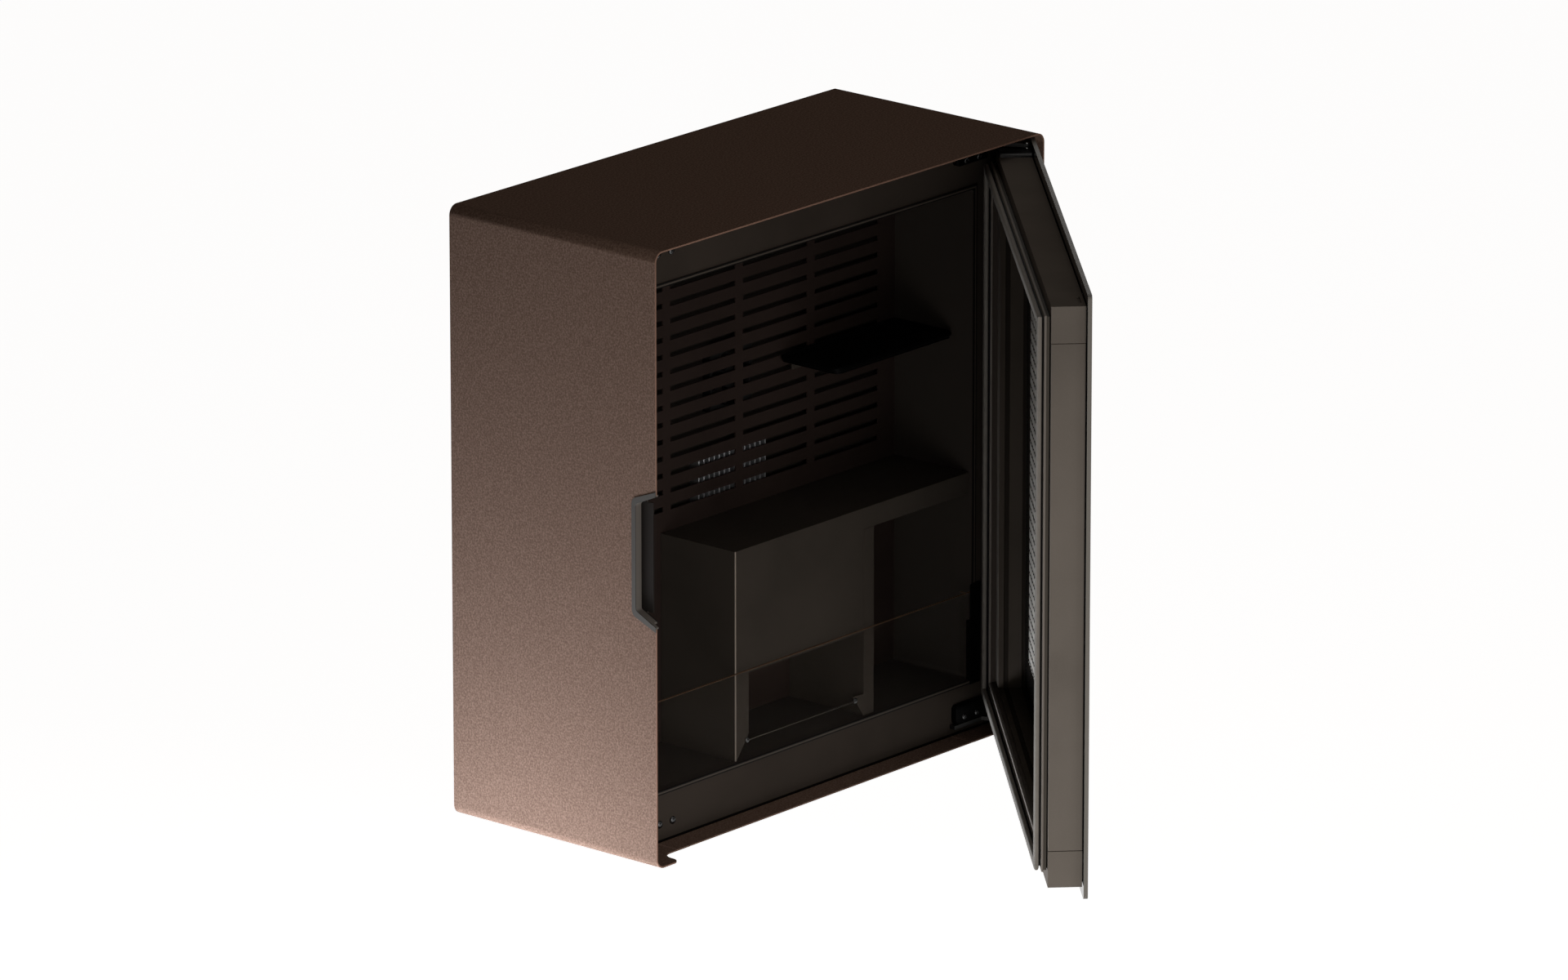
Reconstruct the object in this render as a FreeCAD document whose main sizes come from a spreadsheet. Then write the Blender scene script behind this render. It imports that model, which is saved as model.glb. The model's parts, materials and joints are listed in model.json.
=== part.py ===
import FreeCAD, Part
import math
import os
from types import SimpleNamespace

import Sketcher
from FreeCAD import Rotation, Vector

# Wall-mounted minibar fridge, in millimetres.
# +X is to the right of someone facing the fridge, the front faces -Y, +Z is up.
# The origin is on the wall plane, at the centre of the wall plate's four screw holes.

doc = FreeCAD.newDocument("Minibar")
sheet = doc.addObject("Spreadsheet::Sheet", "Sizes")

SIZES = {
    "casing": {
        "shellWidth": 565, "shellHeight": 600, "shellDepth": 256, "sheetThick": 1.5,
        "cornerRadius": 10, "wallGap": 8, "flangeWidth": 74, "seamGap": 0.6,
        "cutBack": 23, "earWidth": 33, "earTipRadius": 8, "earRootRadius": 12,
        "ventLength": 44, "ventWidth": 5, "ventPitch": 58, "ventEdge": 24,
        "ventRows": 3,
    },
    "grip": {
        "gripTop": 66.5, "gripBottom": 63.7, "gripDepth": 26.5, "gripTopSlope": 11.5,
        "gripBottomSlope": 12.2, "gripReach": 9.5, "gripWall": 1.5, "gripLip": 3.2,
        "gripProud": 0.8, "gripInnerWidth": 16, "gripRadius": 5, "gripReliefX": 3.3,
        "gripReliefY": 6,
    },
    "frame": {
        "faceRecess": 50, "frameThick": 3, "clearSide": 45.5, "clearTop": 56,
        "clearBottom": 52, "linerThick": 2, "linerGap": 0.2, "beadWidth": 4, "beadProud": 1.5,
        "frameCornerRadius": 8.5, "liningRadius": 4,
        "plugRadius": 3.85, "plugHead": 2.7, "plugShank": 1.5, "plugPitch": 18.9,
        "plugLength": 9, "plugSide": 41.4, "plugLow": 19, "plugHigh": 23,
    },
    "cold box": {
        "machineDepth": 62, "ductDepth": 12.5, "louvreThick": 1.5, "foamBack": 30,
        "slotLength": 94.2, "slotHeight": 5, "slotPitchX": 105, "slotPitchZ": 16.7,
        "slotMargin": 12, "slotShift": 7.4, "slotRows": 15, "slotTop": 30.2, "looseGap": 0.3,
    },
    "cooling": {
        "blockSide": 50, "blockGap": 1, "peltierThick": 4, "finThick": 1.5, "finPitch": 7,
        "coldFins": 14, "coldBase": 3, "coldFinDepth": 8.5, "coldHeight": 120, "coldDrop": 40,
        "hotBase": 6, "hotFins": 17, "hotFinDepth": 24, "hotHeight": 140,
        "hotFanSide": 80, "hotFanDepth": 25, "hotBladeCount": 7,
        "coldFanSide": 60, "coldFanDepth": 10, "coldBladeCount": 7, "coldFanLift": 70,
        "tipGap": 1, "fanRim": 2, "hubShare": 0.36, "strutWidth": 4, "strutDepth": 2.5,
        "bladePitch": 32, "bladeThick": 1.2, "shaftRadius": 1.5, "shaftGap": 0.06,
    },
    "electrics": {
        "supplyLength": 110, "supplyHeight": 32, "supplyDepth": 40, "supplySide": 24,
        "boardWidth": 90, "boardHeight": 60, "boardThick": 1.6, "boardSide": 60, "boardLift": 60,
        "standoffRadius": 3, "standoffLength": 6, "standoffInset": 6,
        "chipSide": 14, "chipHeight": 3, "coilSide": 18, "coilHeight": 12,
        "inletWidth": 28, "inletHeight": 20, "inletDepth": 22, "inletRim": 4, "inletLip": 2,
        "pinLength": 9, "pinWidth": 4, "pinThick": 2, "pinPitch": 7, "inletSide": 150,
        "inletLow": 60, "inletWall": 1.5,
        "lampWidth": 60, "lampHeight": 8, "lampDepth": 10, "lensThick": 2, "lampBack": 20,
    },
    "back": {
        "backThick": 1.2, "backInset": 2, "backFlange": 12, "backSlotLength": 100,
        "backSlotHeight": 5, "backSlotPitch": 11, "backSlotCount": 7,
        "backScrewRadius": 4, "backScrewHead": 2, "backScrewShank": 2, "backScrewLength": 9,
        "backScrewInset": 24, "screwGap": 0.1,
    },
    "wall plate": {
        "plateWidth": 460, "plateHeight": 440, "plateThick": 2.5, "plateHoleRadius": 3.25,
        "plateHoleSpacingX": 420, "plateHoleSpacingZ": 400, "plateWindowWidth": 320,
        "plateWindowHeight": 300, "hookSpacing": 300, "hookWidth": 40, "hookLip": 12,
        "hookReach": 3, "hookGap": 0.3, "hookSlotGap": 1, "hookHeight": 180,
        "bufferRadius": 10, "bufferSpacing": 380, "bufferDrop": 190,
    },
    "shelves": {
        "shelfSheet": 1.5, "shelfSetBack": 4, "shelfTop": 208, "shelfLeft": 129.5,
        "panelHeight": 124, "panelWidth": 188, "flangeHeight": 21, "stripWidth": 19.5,
        "stripFootWidth": 2, "stripFootHeight": 24, "rightStripWidth": 15,
        "tabWidth": 16, "tabHeight": 22, "rodRadius": 0.6, "rodHeight": 17.8, "pinInset": 3,
        "pinRadius": 3, "pinHeadDepth": 2, "rodGap": 0.05,
        "upperTop": 346.5, "upperThick": 7, "upperWidth": 174, "upperSetBack": 22,
        "upperRadius": 8, "pegRadius": 3, "pegLength": 9, "pegInset": 20,
        "angleWidth": 12, "angleInset": 20,
    },
    "guard": {
        "guardThick": 2.5, "guardHeight": 86, "guardBottom": 3, "guardProud": 1,
        "guardReturn": 6.5, "guardReturnInset": 6, "guardSideGap": 0.8, "notchWidth": 3,
        "notchHeight": 4, "notchTop": 6, "notchBottom": 22, "guardHoleRadius": 3,
        "guardHoleInset": 12,
        "channelInside": 4.5, "channelOutside": 6, "channelHeight": 101, "channelSheet": 1.2,
        "channelRib": 60, "grooveGap": 0.3,
    },
    "hinge": {
        "doorOpen": 45, "pivotInset": 16.5, "pivotSetBack": 8, "pinHingeRadius": 2,
        "pinGap": 0.06, "eyeRadius": 3.4, "armThick": 4, "armRise": 9, "armDrop": 9,
        "blockSideGap": 30, "blockWidth": 48, "blockDepth": 6.5, "lowBlockHeight": 25,
        "highBlockHeight": 14.5, "hingeScrewRadius": 3.2, "hingeScrewHead": 1.2,
        "pivotBlockWidth": 26, "pivotBlockDepth": 31, "pivotBlockThick": 4,
        "pivotBlockSide": 7, "pinSeat": 14, "bushRadius": 3.6, "bushGap": 0.3, "pinEnd": 0.5,
    },
    "door": {
        "glassSide": 4.5, "glassThick": 4, "glassBottom": 11.5, "glassTop": 6,
        "glassRadius": 4, "tapeThick": 0.8, "tapeWidth": 20, "tapeInset": 4,
        "bodySide": 7, "bodyTop": 12, "bodyBottom": 10.5, "bodyThick": 32, "railHeight": 35.4,
        "stileWidth": 46, "paneSetBack": 8, "paneThick": 3, "paneGroove": 5,
        "catchLength": 20, "catchWidth": 3, "catchDepth": 2, "catchInset": 12,
        "neckThick": 1.3, "neckInset": 3, "trimThick": 4.9, "trimTop": 9, "trimBottom": 14.7,
        "trimSide": 2.5, "trimWidth": 20, "gasketNeck": 1.5, "gasketThick": 5.2,
        "gasketWidth": 9, "gasketInset": 1.5, "magnetWidth": 5, "magnetThick": 2,
        "magnetSetBack": 1.5,
    },
}


class Size:
    # A length with its expression in the sheet and its value.
    def __init__(self, text, value):
        self.text = text
        self.value = value

    def __add__(self, other):
        return Size(f"({self.text} + {text_of(other)})", self.value + value_of(other))

    def __radd__(self, other):
        return Size(f"({text_of(other)} + {self.text})", value_of(other) + self.value)

    def __sub__(self, other):
        return Size(f"({self.text} - {text_of(other)})", self.value - value_of(other))

    def __rsub__(self, other):
        return Size(f"({text_of(other)} - {self.text})", value_of(other) - self.value)

    def __mul__(self, factor):
        return Size(f"({self.text} * {text_of(factor)})", self.value * value_of(factor))

    def __truediv__(self, factor):
        return Size(f"({self.text} / {text_of(factor)})", self.value / value_of(factor))

    def __neg__(self):
        return Size(f"(0 - {self.text})", -self.value)


def text_of(item):
    return item.text if isinstance(item, Size) else repr(item)


def value_of(item):
    return item.value if isinstance(item, Size) else item


def fill_sheet():
    named = {}
    row = 1
    for section, sizes in SIZES.items():
        sheet.set(f"A{row}", section)
        row += 1
        for name, number in sizes.items():
            sheet.set(f"A{row}", name)
            sheet.set(f"B{row}", str(number))
            sheet.setAlias(f"B{row}", name)
            named[name] = Size(f"Sizes.{name}", number)
            row += 1
    doc.recompute()
    return SimpleNamespace(**named)


s = fill_sheet()
pieces = []
corners = {}

# Planes that several pieces share.
LEFT = -s.shellWidth / 2
RIGHT = s.shellWidth / 2
BOTTOM = -s.shellHeight / 2
TOP = s.shellHeight / 2
REAR = -s.wallGap
FRONT = REAR - s.shellDepth
FACE = FRONT + s.faceRecess
LINING_RIGHT = RIGHT - s.clearSide
LINING_LEFT = LEFT + s.clearSide
FLOOR = BOTTOM + s.clearBottom
CEILING = TOP - s.clearTop
FOAM_BACK = REAR - s.machineDepth
LINER_BACK = FOAM_BACK - s.foamBack - s.linerThick
LOUVRE = LINER_BACK - s.ductDepth - s.louvreThick
PANEL_BACK = REAR - s.backInset
PANEL_FACE = PANEL_BACK - s.backThick
INNER_LEFT = LEFT + s.sheetThick
INNER_RIGHT = RIGHT - s.sheetThick
INNER_BOTTOM = BOTTOM + s.sheetThick
INNER_TOP = TOP - s.sheetThick
PIVOT_X = RIGHT - s.pivotInset
PIVOT_Y = FRONT + s.pivotSetBack


def bind(item, prop, size):
    item.setExpression(prop, text_of(size))


def slab(name, x, y, z):
    # A block between the low and high planes of x, y and z.
    box = doc.addObject("Part::Box", name)
    for prop, span in zip(("Length", "Width", "Height"), (x, y, z)):
        bind(box, prop, span[1] - span[0])
    for axis, span in zip("xyz", (x, y, z)):
        bind(box, f"Placement.Base.{axis}", span[0])
    corners[box.Name] = (x[0], y[0], z[0])
    return box


SNAP = 1e-3
TURNS = {"x": Rotation(Vector(0, 1, 0), 90), "y": Rotation(Vector(1, 0, 0), -90), "z": Rotation()}


def post(name, axis, x, y, z, radius):
    # A round bar along one axis; the place along that axis is a low and a high plane.
    bar = doc.addObject("Part::Cylinder", name)
    bar.Placement = FreeCAD.Placement(Vector(), TURNS[axis])
    place = {"x": x, "y": y, "z": z}
    span = place[axis]
    bind(bar, "Radius", radius)
    bind(bar, "Height", span[1] - span[0])
    place[axis] = span[0]
    for letter, size in place.items():
        bind(bar, f"Placement.Base.{letter}", size)
    corners[bar.Name] = (place["x"], place["y"], place["z"])
    return bar


def fuse(name, *parts):
    whole = doc.addObject("Part::MultiFuse", name)
    whole.Shapes = list(parts)
    whole.Refine = True
    return whole


def cut(name, base, *tools):
    rest = doc.addObject("Part::Cut", name)
    rest.Base = base
    rest.Tool = tools[0] if len(tools) == 1 else group(name + "_tools", *tools)
    rest.Refine = True
    return rest


def group(name, *parts):
    many = doc.addObject("Part::Compound", name)
    many.Links = list(parts)
    return many


def ring(name, x, y, z, border):
    # A flat frame with the same border all round.
    outer = slab(name + "_outer", x, y, z)
    inner = slab(name + "_inner", (x[0] + border, x[1] - border), y, (z[0] + border, z[1] - border))
    return cut(name, outer, inner)


def round_edges(name, base, radius, axis, keep=None):
    # Rounds the straight edges of base that run along one axis.
    doc.recompute()
    way = {"x": Vector(1, 0, 0), "y": Vector(0, 1, 0), "z": Vector(0, 0, 1)}[axis]
    picked = []
    for number, edge in enumerate(base.Shape.Edges, 1):
        ends = [vertex.Point for vertex in edge.Vertexes]
        if len(ends) != 2 or edge.Curve.TypeId != "Part::GeomLine":
            continue
        along = (ends[1] - ends[0]).normalize()
        if abs(along.dot(way)) > math.cos(math.radians(1)) and (keep is None or keep(edge.CenterOfMass)):
            picked.append((number, radius.value, radius.value))
    rounded = doc.addObject("Part::Fillet", name)
    rounded.Base = base
    rounded.Edges = picked
    return rounded


def outline(points):
    flat = [Vector(*(value_of(c) for c in point)) for point in points]
    return Part.makePolygon(flat + [flat[0]])


def prism(name, points, way):
    # A solid from a closed outline of points, pushed along a direction.
    item = doc.addObject("Part::Feature", name)
    face = Part.Face(outline(points))
    item.Shape = face.extrude(Vector(*(value_of(c) for c in way)))
    return item


def piece(node, item):
    item.Label = node
    pieces.append(item)
    return item


def swing(item):
    # Turns a piece that was drawn with the door shut to the door's resting angle.
    x, y, z = corners.get(item.Name, (0, 0, 0))
    cos, sin = "cos(Sizes.doorOpen)", "sin(Sizes.doorOpen)"
    across = f"({text_of(x)} - {PIVOT_X.text})"
    back = f"({text_of(y)} - {PIVOT_Y.text})"
    item.setExpression("Placement.Base.x", f"{PIVOT_X.text} + {across} * {cos} - {back} * {sin}")
    item.setExpression("Placement.Base.y", f"{PIVOT_Y.text} + {across} * {sin} + {back} * {cos}")
    item.setExpression("Placement.Rotation.Angle", "Sizes.doorOpen")
    return item


def door_piece(node, item):
    return swing(piece(node, item))


def origin_plane(body, role):
    return next(f for f in body.Origin.OriginFeatures if f.Role == role)


def front_sketch(body, name, x, y, z):
    # A rectangle seen from the front, drawn on a plane y behind the front.
    sketch = body.newObject("Sketcher::SketchObject", name)
    sketch.AttachmentSupport = [(origin_plane(body, "XZ_Plane"), "")]
    sketch.MapMode = "FlatFace"
    bind(sketch, "AttachmentOffset.Base.x", x[0])
    bind(sketch, "AttachmentOffset.Base.y", z[0])
    bind(sketch, "AttachmentOffset.Base.z", -y)
    wide, tall = value_of(x[1] - x[0]), value_of(z[1] - z[0])
    dots = [Vector(0, 0, 0), Vector(wide, 0, 0), Vector(wide, tall, 0), Vector(0, tall, 0)]
    for first, second in zip(dots, dots[1:] + dots[:1]):
        sketch.addGeometry(Part.LineSegment(first, second))
    for line in range(4):
        sketch.addConstraint(Sketcher.Constraint("Coincident", line, 2, (line + 1) % 4, 1))
        sketch.addConstraint(Sketcher.Constraint("Vertical" if line % 2 else "Horizontal", line))
    sketch.addConstraint(Sketcher.Constraint("Coincident", 0, 1, -1, 1))
    width = sketch.addConstraint(Sketcher.Constraint("DistanceX", 0, 1, 0, 2, wide))
    height = sketch.addConstraint(Sketcher.Constraint("DistanceY", 1, 1, 1, 2, tall))
    sketch.setExpression(f"Constraints[{width}]", (x[1] - x[0]).text)
    sketch.setExpression(f"Constraints[{height}]", (z[1] - z[0]).text)
    return sketch


def front_pad(body, name, x, y, z):
    pad = body.newObject("PartDesign::Pad", name)
    pad.Profile = front_sketch(body, name + "_sketch", x, y[1], z)
    bind(pad, "Length", y[1] - y[0])
    return pad


def front_pocket(body, name, x, y, z):
    # Cuts a rectangle from the back plane y[1] forwards to the plane y[0].
    doc.recompute()
    before = body.Shape.Volume
    pocket = body.newObject("PartDesign::Pocket", name)
    pocket.Profile = front_sketch(body, name + "_sketch", x, y[1], z)
    pocket.Reversed = True
    bind(pocket, "Length", y[1] - y[0])
    doc.recompute()
    if body.Shape.Volume >= before:
        raise RuntimeError(name + " cut nothing")
    return pocket


def body_fillet(body, name, radius, x, z):
    # Rounds the edges along Y at the four corners of a rectangle.
    doc.recompute()
    tip = body.Tip
    spots = [(value_of(a), value_of(b)) for a in x for b in z]
    names = []
    for number, edge in enumerate(tip.Shape.Edges, 1):
        ends = [vertex.Point for vertex in edge.Vertexes]
        if len(ends) != 2 or (ends[0] - ends[1]).cross(Vector(0, 1, 0)).Length > SNAP:
            continue
        if any(math.hypot(ends[0].x - a, ends[0].z - b) < SNAP for a, b in spots):
            names.append(f"Edge{number}")
    fillet = body.newObject("PartDesign::Fillet", name)
    fillet.Base = (tip, names)
    bind(fillet, "Radius", radius)
    doc.recompute()
    return fillet


# Casing


def make_outer_shell():
    body = doc.addObject("PartDesign::Body", "outer_shell_body")
    over = s.sheetThick
    front_pad(body, "shell_block", (LEFT, RIGHT), (FRONT, REAR), (BOTTOM, TOP))
    inside_x, inside_z = (INNER_LEFT, INNER_RIGHT), (INNER_BOTTOM, INNER_TOP)
    front_pocket(body, "shell_hollow", inside_x, (FRONT - over, REAR + over), inside_z)
    body_fillet(body, "shell_inner_corners", s.cornerRadius - s.sheetThick, inside_x, inside_z)
    body_fillet(body, "shell_outer_corners", s.cornerRadius, (LEFT, RIGHT), (BOTTOM, TOP))
    middle = (LEFT + s.flangeWidth, RIGHT - s.flangeWidth)
    low = (BOTTOM - over, INNER_BOTTOM + over)
    gap = slab("shell_floor_gap", middle, (FRONT - over, REAR + over), low)
    ears = (LEFT + s.earWidth, RIGHT - s.earWidth)
    notch = slab("shell_ear_gap", ears, (FRONT - over, FRONT + s.cutBack), low)
    grip = prism("shell_grip_gap", grip_points(0, LEFT - over), (s.sheetThick * 3, 0, 0))
    grip = round_edges("shell_grip_round", grip, s.gripRadius, "x", lambda p: p.y > FRONT.value)
    opened = cut("shell_opened", body, gap, notch, grip)

    def on_floor(point, y):
        return point.z < INNER_BOTTOM.value and abs(point.y - y.value) < over.value

    def ear_tip(point):
        return on_floor(point, FRONT)

    def ear_root(point):
        from_ear = abs(point.x) - ears[1].value
        return on_floor(point, FRONT + s.cutBack) and abs(from_ear) < over.value

    tips = round_edges("shell_ear_tips", opened, s.earTipRadius, "z", ear_tip)
    piece("outer_shell", round_edges("outer_shell", tips, s.earRootRadius, "z", ear_root))


def grip_points(grow, x):
    # The notch in the left side's front edge, grown outwards by a margin.
    top, bottom = s.gripTop + grow, -s.gripBottom - grow
    back = FRONT + s.gripDepth + grow
    front = FRONT
    return [
        (x, front, top),
        (x, back, top - s.gripTopSlope),
        (x, back, bottom + s.gripBottomSlope),
        (x, front, bottom),
    ]


def make_grip_trim():
    lip_face = LEFT - s.gripProud
    inside = LEFT + s.gripReach
    through = s.gripReach * 3

    def block(name, grow, x, depth, radius):
        shape = prism(name, grip_points(grow, x), (depth, 0, 0))
        return round_edges(name + "_round", shape, radius, "x", lambda p: p.y > FRONT.value)

    lip = block("grip_lip", s.gripLip, lip_face, s.gripProud, s.gripRadius + s.gripLip)
    wall = block("grip_wall", 0, LEFT, s.gripReach, s.gripRadius)
    hole = block("grip_hole", -s.gripWall, lip_face - through, through * 2, s.gripRadius - s.gripWall)
    tube = cut("grip_tube", fuse("grip_solid", lip, wall), hole)
    floor_z = (-s.gripBottom + s.gripBottomSlope, s.gripTop - s.gripTopSlope)
    floor_y = (FRONT + s.gripDepth - s.gripInnerWidth, FRONT + s.gripDepth - s.gripWall)
    floor = slab("grip_floor", (inside - s.gripWall, inside), floor_y, floor_z)
    over = s.gripReliefY
    relief = slab("grip_relief", (LEFT + s.gripReliefX, inside + over), (FRONT - over, FRONT + over),
                  (-s.gripBottom - over, s.gripTop + over))
    piece("grip_trim", cut("grip_trim", fuse("grip_joined", tube, floor), relief))


def make_bottom_panel():
    side = s.flangeWidth + s.seamGap
    x = (LEFT + side, RIGHT - side)
    y = (FRONT + s.cutBack, REAR)
    panel = slab("bottom_panel_sheet", x, y, (BOTTOM, INNER_BOTTOM))
    slots = []
    count = int((x[1] - x[0] - s.ventEdge * 2).value // s.ventPitch.value)
    for row in range(int(s.ventRows.value)):
        for number in range(count):
            start = x[0] + s.ventEdge + s.ventPitch * number
            back = REAR - s.ventEdge - s.ventWidth * (2 * row)
            slots.append(slab(f"bottom_vent_{row}_{number}", (start, start + s.ventLength),
                              (back - s.ventWidth, back), (BOTTOM - s.sheetThick, INNER_TOP)))
    piece("bottom_panel", cut("bottom_panel", panel, *slots))


def make_back_panel():
    body = doc.addObject("PartDesign::Body", "back_panel_pan")
    x, z = (INNER_LEFT, INNER_RIGHT), (INNER_BOTTOM, INNER_TOP)
    radius = s.cornerRadius - s.sheetThick
    front_pad(body, "pan_block", x, (PANEL_FACE - s.backFlange, PANEL_BACK), z)
    hollow_x = (x[0] + s.backThick, x[1] - s.backThick)
    hollow_z = (z[0] + s.backThick, z[1] - s.backThick)
    front_pocket(body, "pan_hollow", hollow_x, (PANEL_FACE - s.backFlange * 2, PANEL_FACE), hollow_z)
    body_fillet(body, "pan_hollow_corners", radius - s.backThick, hollow_x, hollow_z)
    body_fillet(body, "pan_corners", radius, x, z)
    through = (PANEL_FACE - s.backThick, PANEL_BACK + s.backThick)
    tools = []
    for number in range(int(s.backSlotCount.value)):
        z0 = s.backSlotPitch * (number - (s.backSlotCount.value - 1) / 2) - s.backSlotHeight / 2
        tools.append(slab(f"back_vent_{number}", (-s.backSlotLength / 2, s.backSlotLength / 2),
                          through, (z0, z0 + s.backSlotHeight)))
    for side in (-1, 1):
        centre = s.hookSpacing * (side / 2)
        half = s.hookWidth / 2 + s.hookSlotGap
        high = s.hookHeight + s.hookGap
        low = s.hookHeight - s.plateThick - s.hookLip - s.hookSlotGap
        tools.append(slab(f"hook_slot_{side + 1}", (centre - half, centre + half), through, (low, high)))
    for number, (x0, z0) in enumerate(back_screw_places()):
        tools.append(post(f"back_screw_hole_{number}", "y", x0, through, z0,
                          s.backScrewShank + s.screwGap))
    tools.append(slab("inlet_hole", inlet_span(), through, inlet_rise()))
    piece("back_panel", cut("back_panel", body, *tools))
    heads = []
    for number, (x0, z0) in enumerate(back_screw_places()):
        head = post(f"back_head_{number}", "y", x0, (PANEL_BACK, PANEL_BACK + s.backScrewHead), z0,
                    s.backScrewRadius)
        shank = post(f"back_shank_{number}", "y", x0, (PANEL_BACK - s.backScrewLength, PANEL_BACK), z0,
                     s.backScrewShank)
        heads.append(fuse(f"back_screw_{number}", head, shank))
    piece("back_panel_screws", group("back_panel_screws", *heads))


def back_screw_places():
    x = RIGHT - s.backScrewInset
    z = TOP - s.backScrewInset
    return [(-x, -z), (x, -z), (-x, z), (x, z)]


def inlet_span():
    return (s.inletSide - s.inletWidth / 2, s.inletSide + s.inletWidth / 2)


def inlet_rise():
    low = BOTTOM + s.inletLow
    return (low, low + s.inletHeight)


def make_wall_plate():
    x = (-s.plateWidth / 2, s.plateWidth / 2)
    z = (-s.plateHeight / 2, s.plateHeight / 2)
    y = (-s.plateThick, 0)
    deep = (y[0] - s.plateThick, y[1] + s.plateThick)
    plate = slab("wall_plate_sheet", x, y, z)
    tools = [slab("wall_plate_window", (-s.plateWindowWidth / 2, s.plateWindowWidth / 2), deep,
                  (-s.plateWindowHeight / 2, s.plateWindowHeight / 2))]
    for side in (-1, 1):
        for level in (-1, 1):
            tools.append(post(f"wall_hole_{side + 1}{level + 1}", "y", s.plateHoleSpacingX * (side / 2),
                              deep, s.plateHoleSpacingZ * (level / 2), s.plateHoleRadius))
    hooks = [cut("wall_plate_holed", plate, *tools)]
    lip_back = PANEL_FACE - s.hookReach
    for side in (-1, 1):
        centre = s.hookSpacing * (side / 2)
        span = (centre - s.hookWidth / 2, centre + s.hookWidth / 2)
        top = s.hookHeight
        hooks.append(slab(f"hook_arm_{side + 1}", span, (lip_back - s.plateThick, y[0]),
                          (top - s.plateThick, top)))
        hooks.append(slab(f"hook_lip_{side + 1}", span, (lip_back - s.plateThick, lip_back),
                          (top - s.plateThick, top - s.plateThick + s.hookLip)))
    piece("wall_plate", fuse("wall_plate", *hooks))
    buffers = []
    for side in (-1, 1):
        buffers.append(post(f"wall_buffer_{side + 1}", "y", s.bufferSpacing * (side / 2),
                            (PANEL_BACK, y[0]), -s.bufferDrop, s.bufferRadius))
    piece("wall_buffers", group("wall_buffers", *buffers))


# Face frame, liner and insulation


def make_face_frame():
    body = doc.addObject("PartDesign::Body", "face_frame_body")
    x, z = (INNER_LEFT, INNER_RIGHT), (INNER_BOTTOM, INNER_TOP)
    y = (FACE, FACE + s.frameThick)
    margin = s.linerThick + s.linerGap
    front_pad(body, "frame_block", x, y, z)
    body_fillet(body, "frame_corners", s.frameCornerRadius, x, z)
    hole_x = (LINING_LEFT - margin, LINING_RIGHT + margin)
    hole_z = (FLOOR - margin, CEILING + margin)
    front_pocket(body, "frame_hole", hole_x, (y[0] - s.frameThick, y[1] + s.frameThick), hole_z)
    holes = [post(f"plug_hole_{n}", "y", x0, (y[0] - s.frameThick, y[1] + s.frameThick), z0,
                  s.plugShank + s.screwGap) for n, (x0, z0) in enumerate(plug_places())]
    piece("face_frame", cut("face_frame", body, *holes))
    plugs = []
    for n, (x0, z0) in enumerate(plug_places()):
        head = post(f"plug_head_{n}", "y", x0, (FACE - s.plugHead, FACE), z0, s.plugRadius)
        shank = post(f"plug_shank_{n}", "y", x0, (FACE, FACE + s.plugLength), z0, s.plugShank)
        plugs.append(fuse(f"plug_{n}", head, shank))
    piece("frame_screws", group("frame_screws", *plugs))


def plug_places():
    low = BOTTOM + s.plugLow
    high = TOP - s.plugHigh
    start = LEFT + s.plugSide
    return [(start + s.plugPitch * n, z0) for z0 in (low, high) for n in range(3)]


def lining_block(name, margin, y):
    return slab(name, (LINING_LEFT - margin, LINING_RIGHT + margin), y, (FLOOR - margin, CEILING + margin))


def cold_block_span(margin):
    half = s.blockSide / 2 + margin
    centre = -s.coldDrop
    return (-half, half), (centre - half, centre + half)


def make_inner_liner():
    tub = lining_block("liner_tub", s.linerThick, (FACE, LINER_BACK + s.linerThick))
    bead = lining_block("liner_bead", s.beadWidth, (FACE - s.beadProud, FACE))
    hollow = lining_block("liner_hollow", 0, (FACE - s.beadProud * 2, LINER_BACK))
    hollow = round_edges("liner_hollow_round", hollow, s.liningRadius, "y")
    x, z = cold_block_span(s.blockGap)
    port = slab("liner_port", x, (LINER_BACK - s.linerThick, LINER_BACK + s.linerThick * 2), z)
    liner = cut("inner_liner", fuse("liner_solid", tub, bead), hollow, port)
    return piece("inner_liner", liner)


def make_foam():
    body = doc.addObject("PartDesign::Body", "insulation_body")
    x, z = (INNER_LEFT, INNER_RIGHT), (INNER_BOTTOM, INNER_TOP)
    front_pad(body, "foam_block", x, (FACE + s.frameThick, FOAM_BACK), z)
    body_fillet(body, "foam_corners", s.frameCornerRadius, x, z)
    tub = lining_block("foam_hollow", s.linerThick, (FACE, LINER_BACK + s.linerThick))
    px, pz = cold_block_span(s.blockGap)
    port = slab("foam_port", px, (LINER_BACK, FOAM_BACK + s.linerThick), pz)
    sockets = [post(f"foam_socket_{n}", "y", x0, (FACE, FACE + s.plugLength), z0, s.plugShank)
               for n, (x0, z0) in enumerate(plug_places())]
    piece("insulation_foam", cut("insulation_foam", body, tub, port, *sockets))


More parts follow.
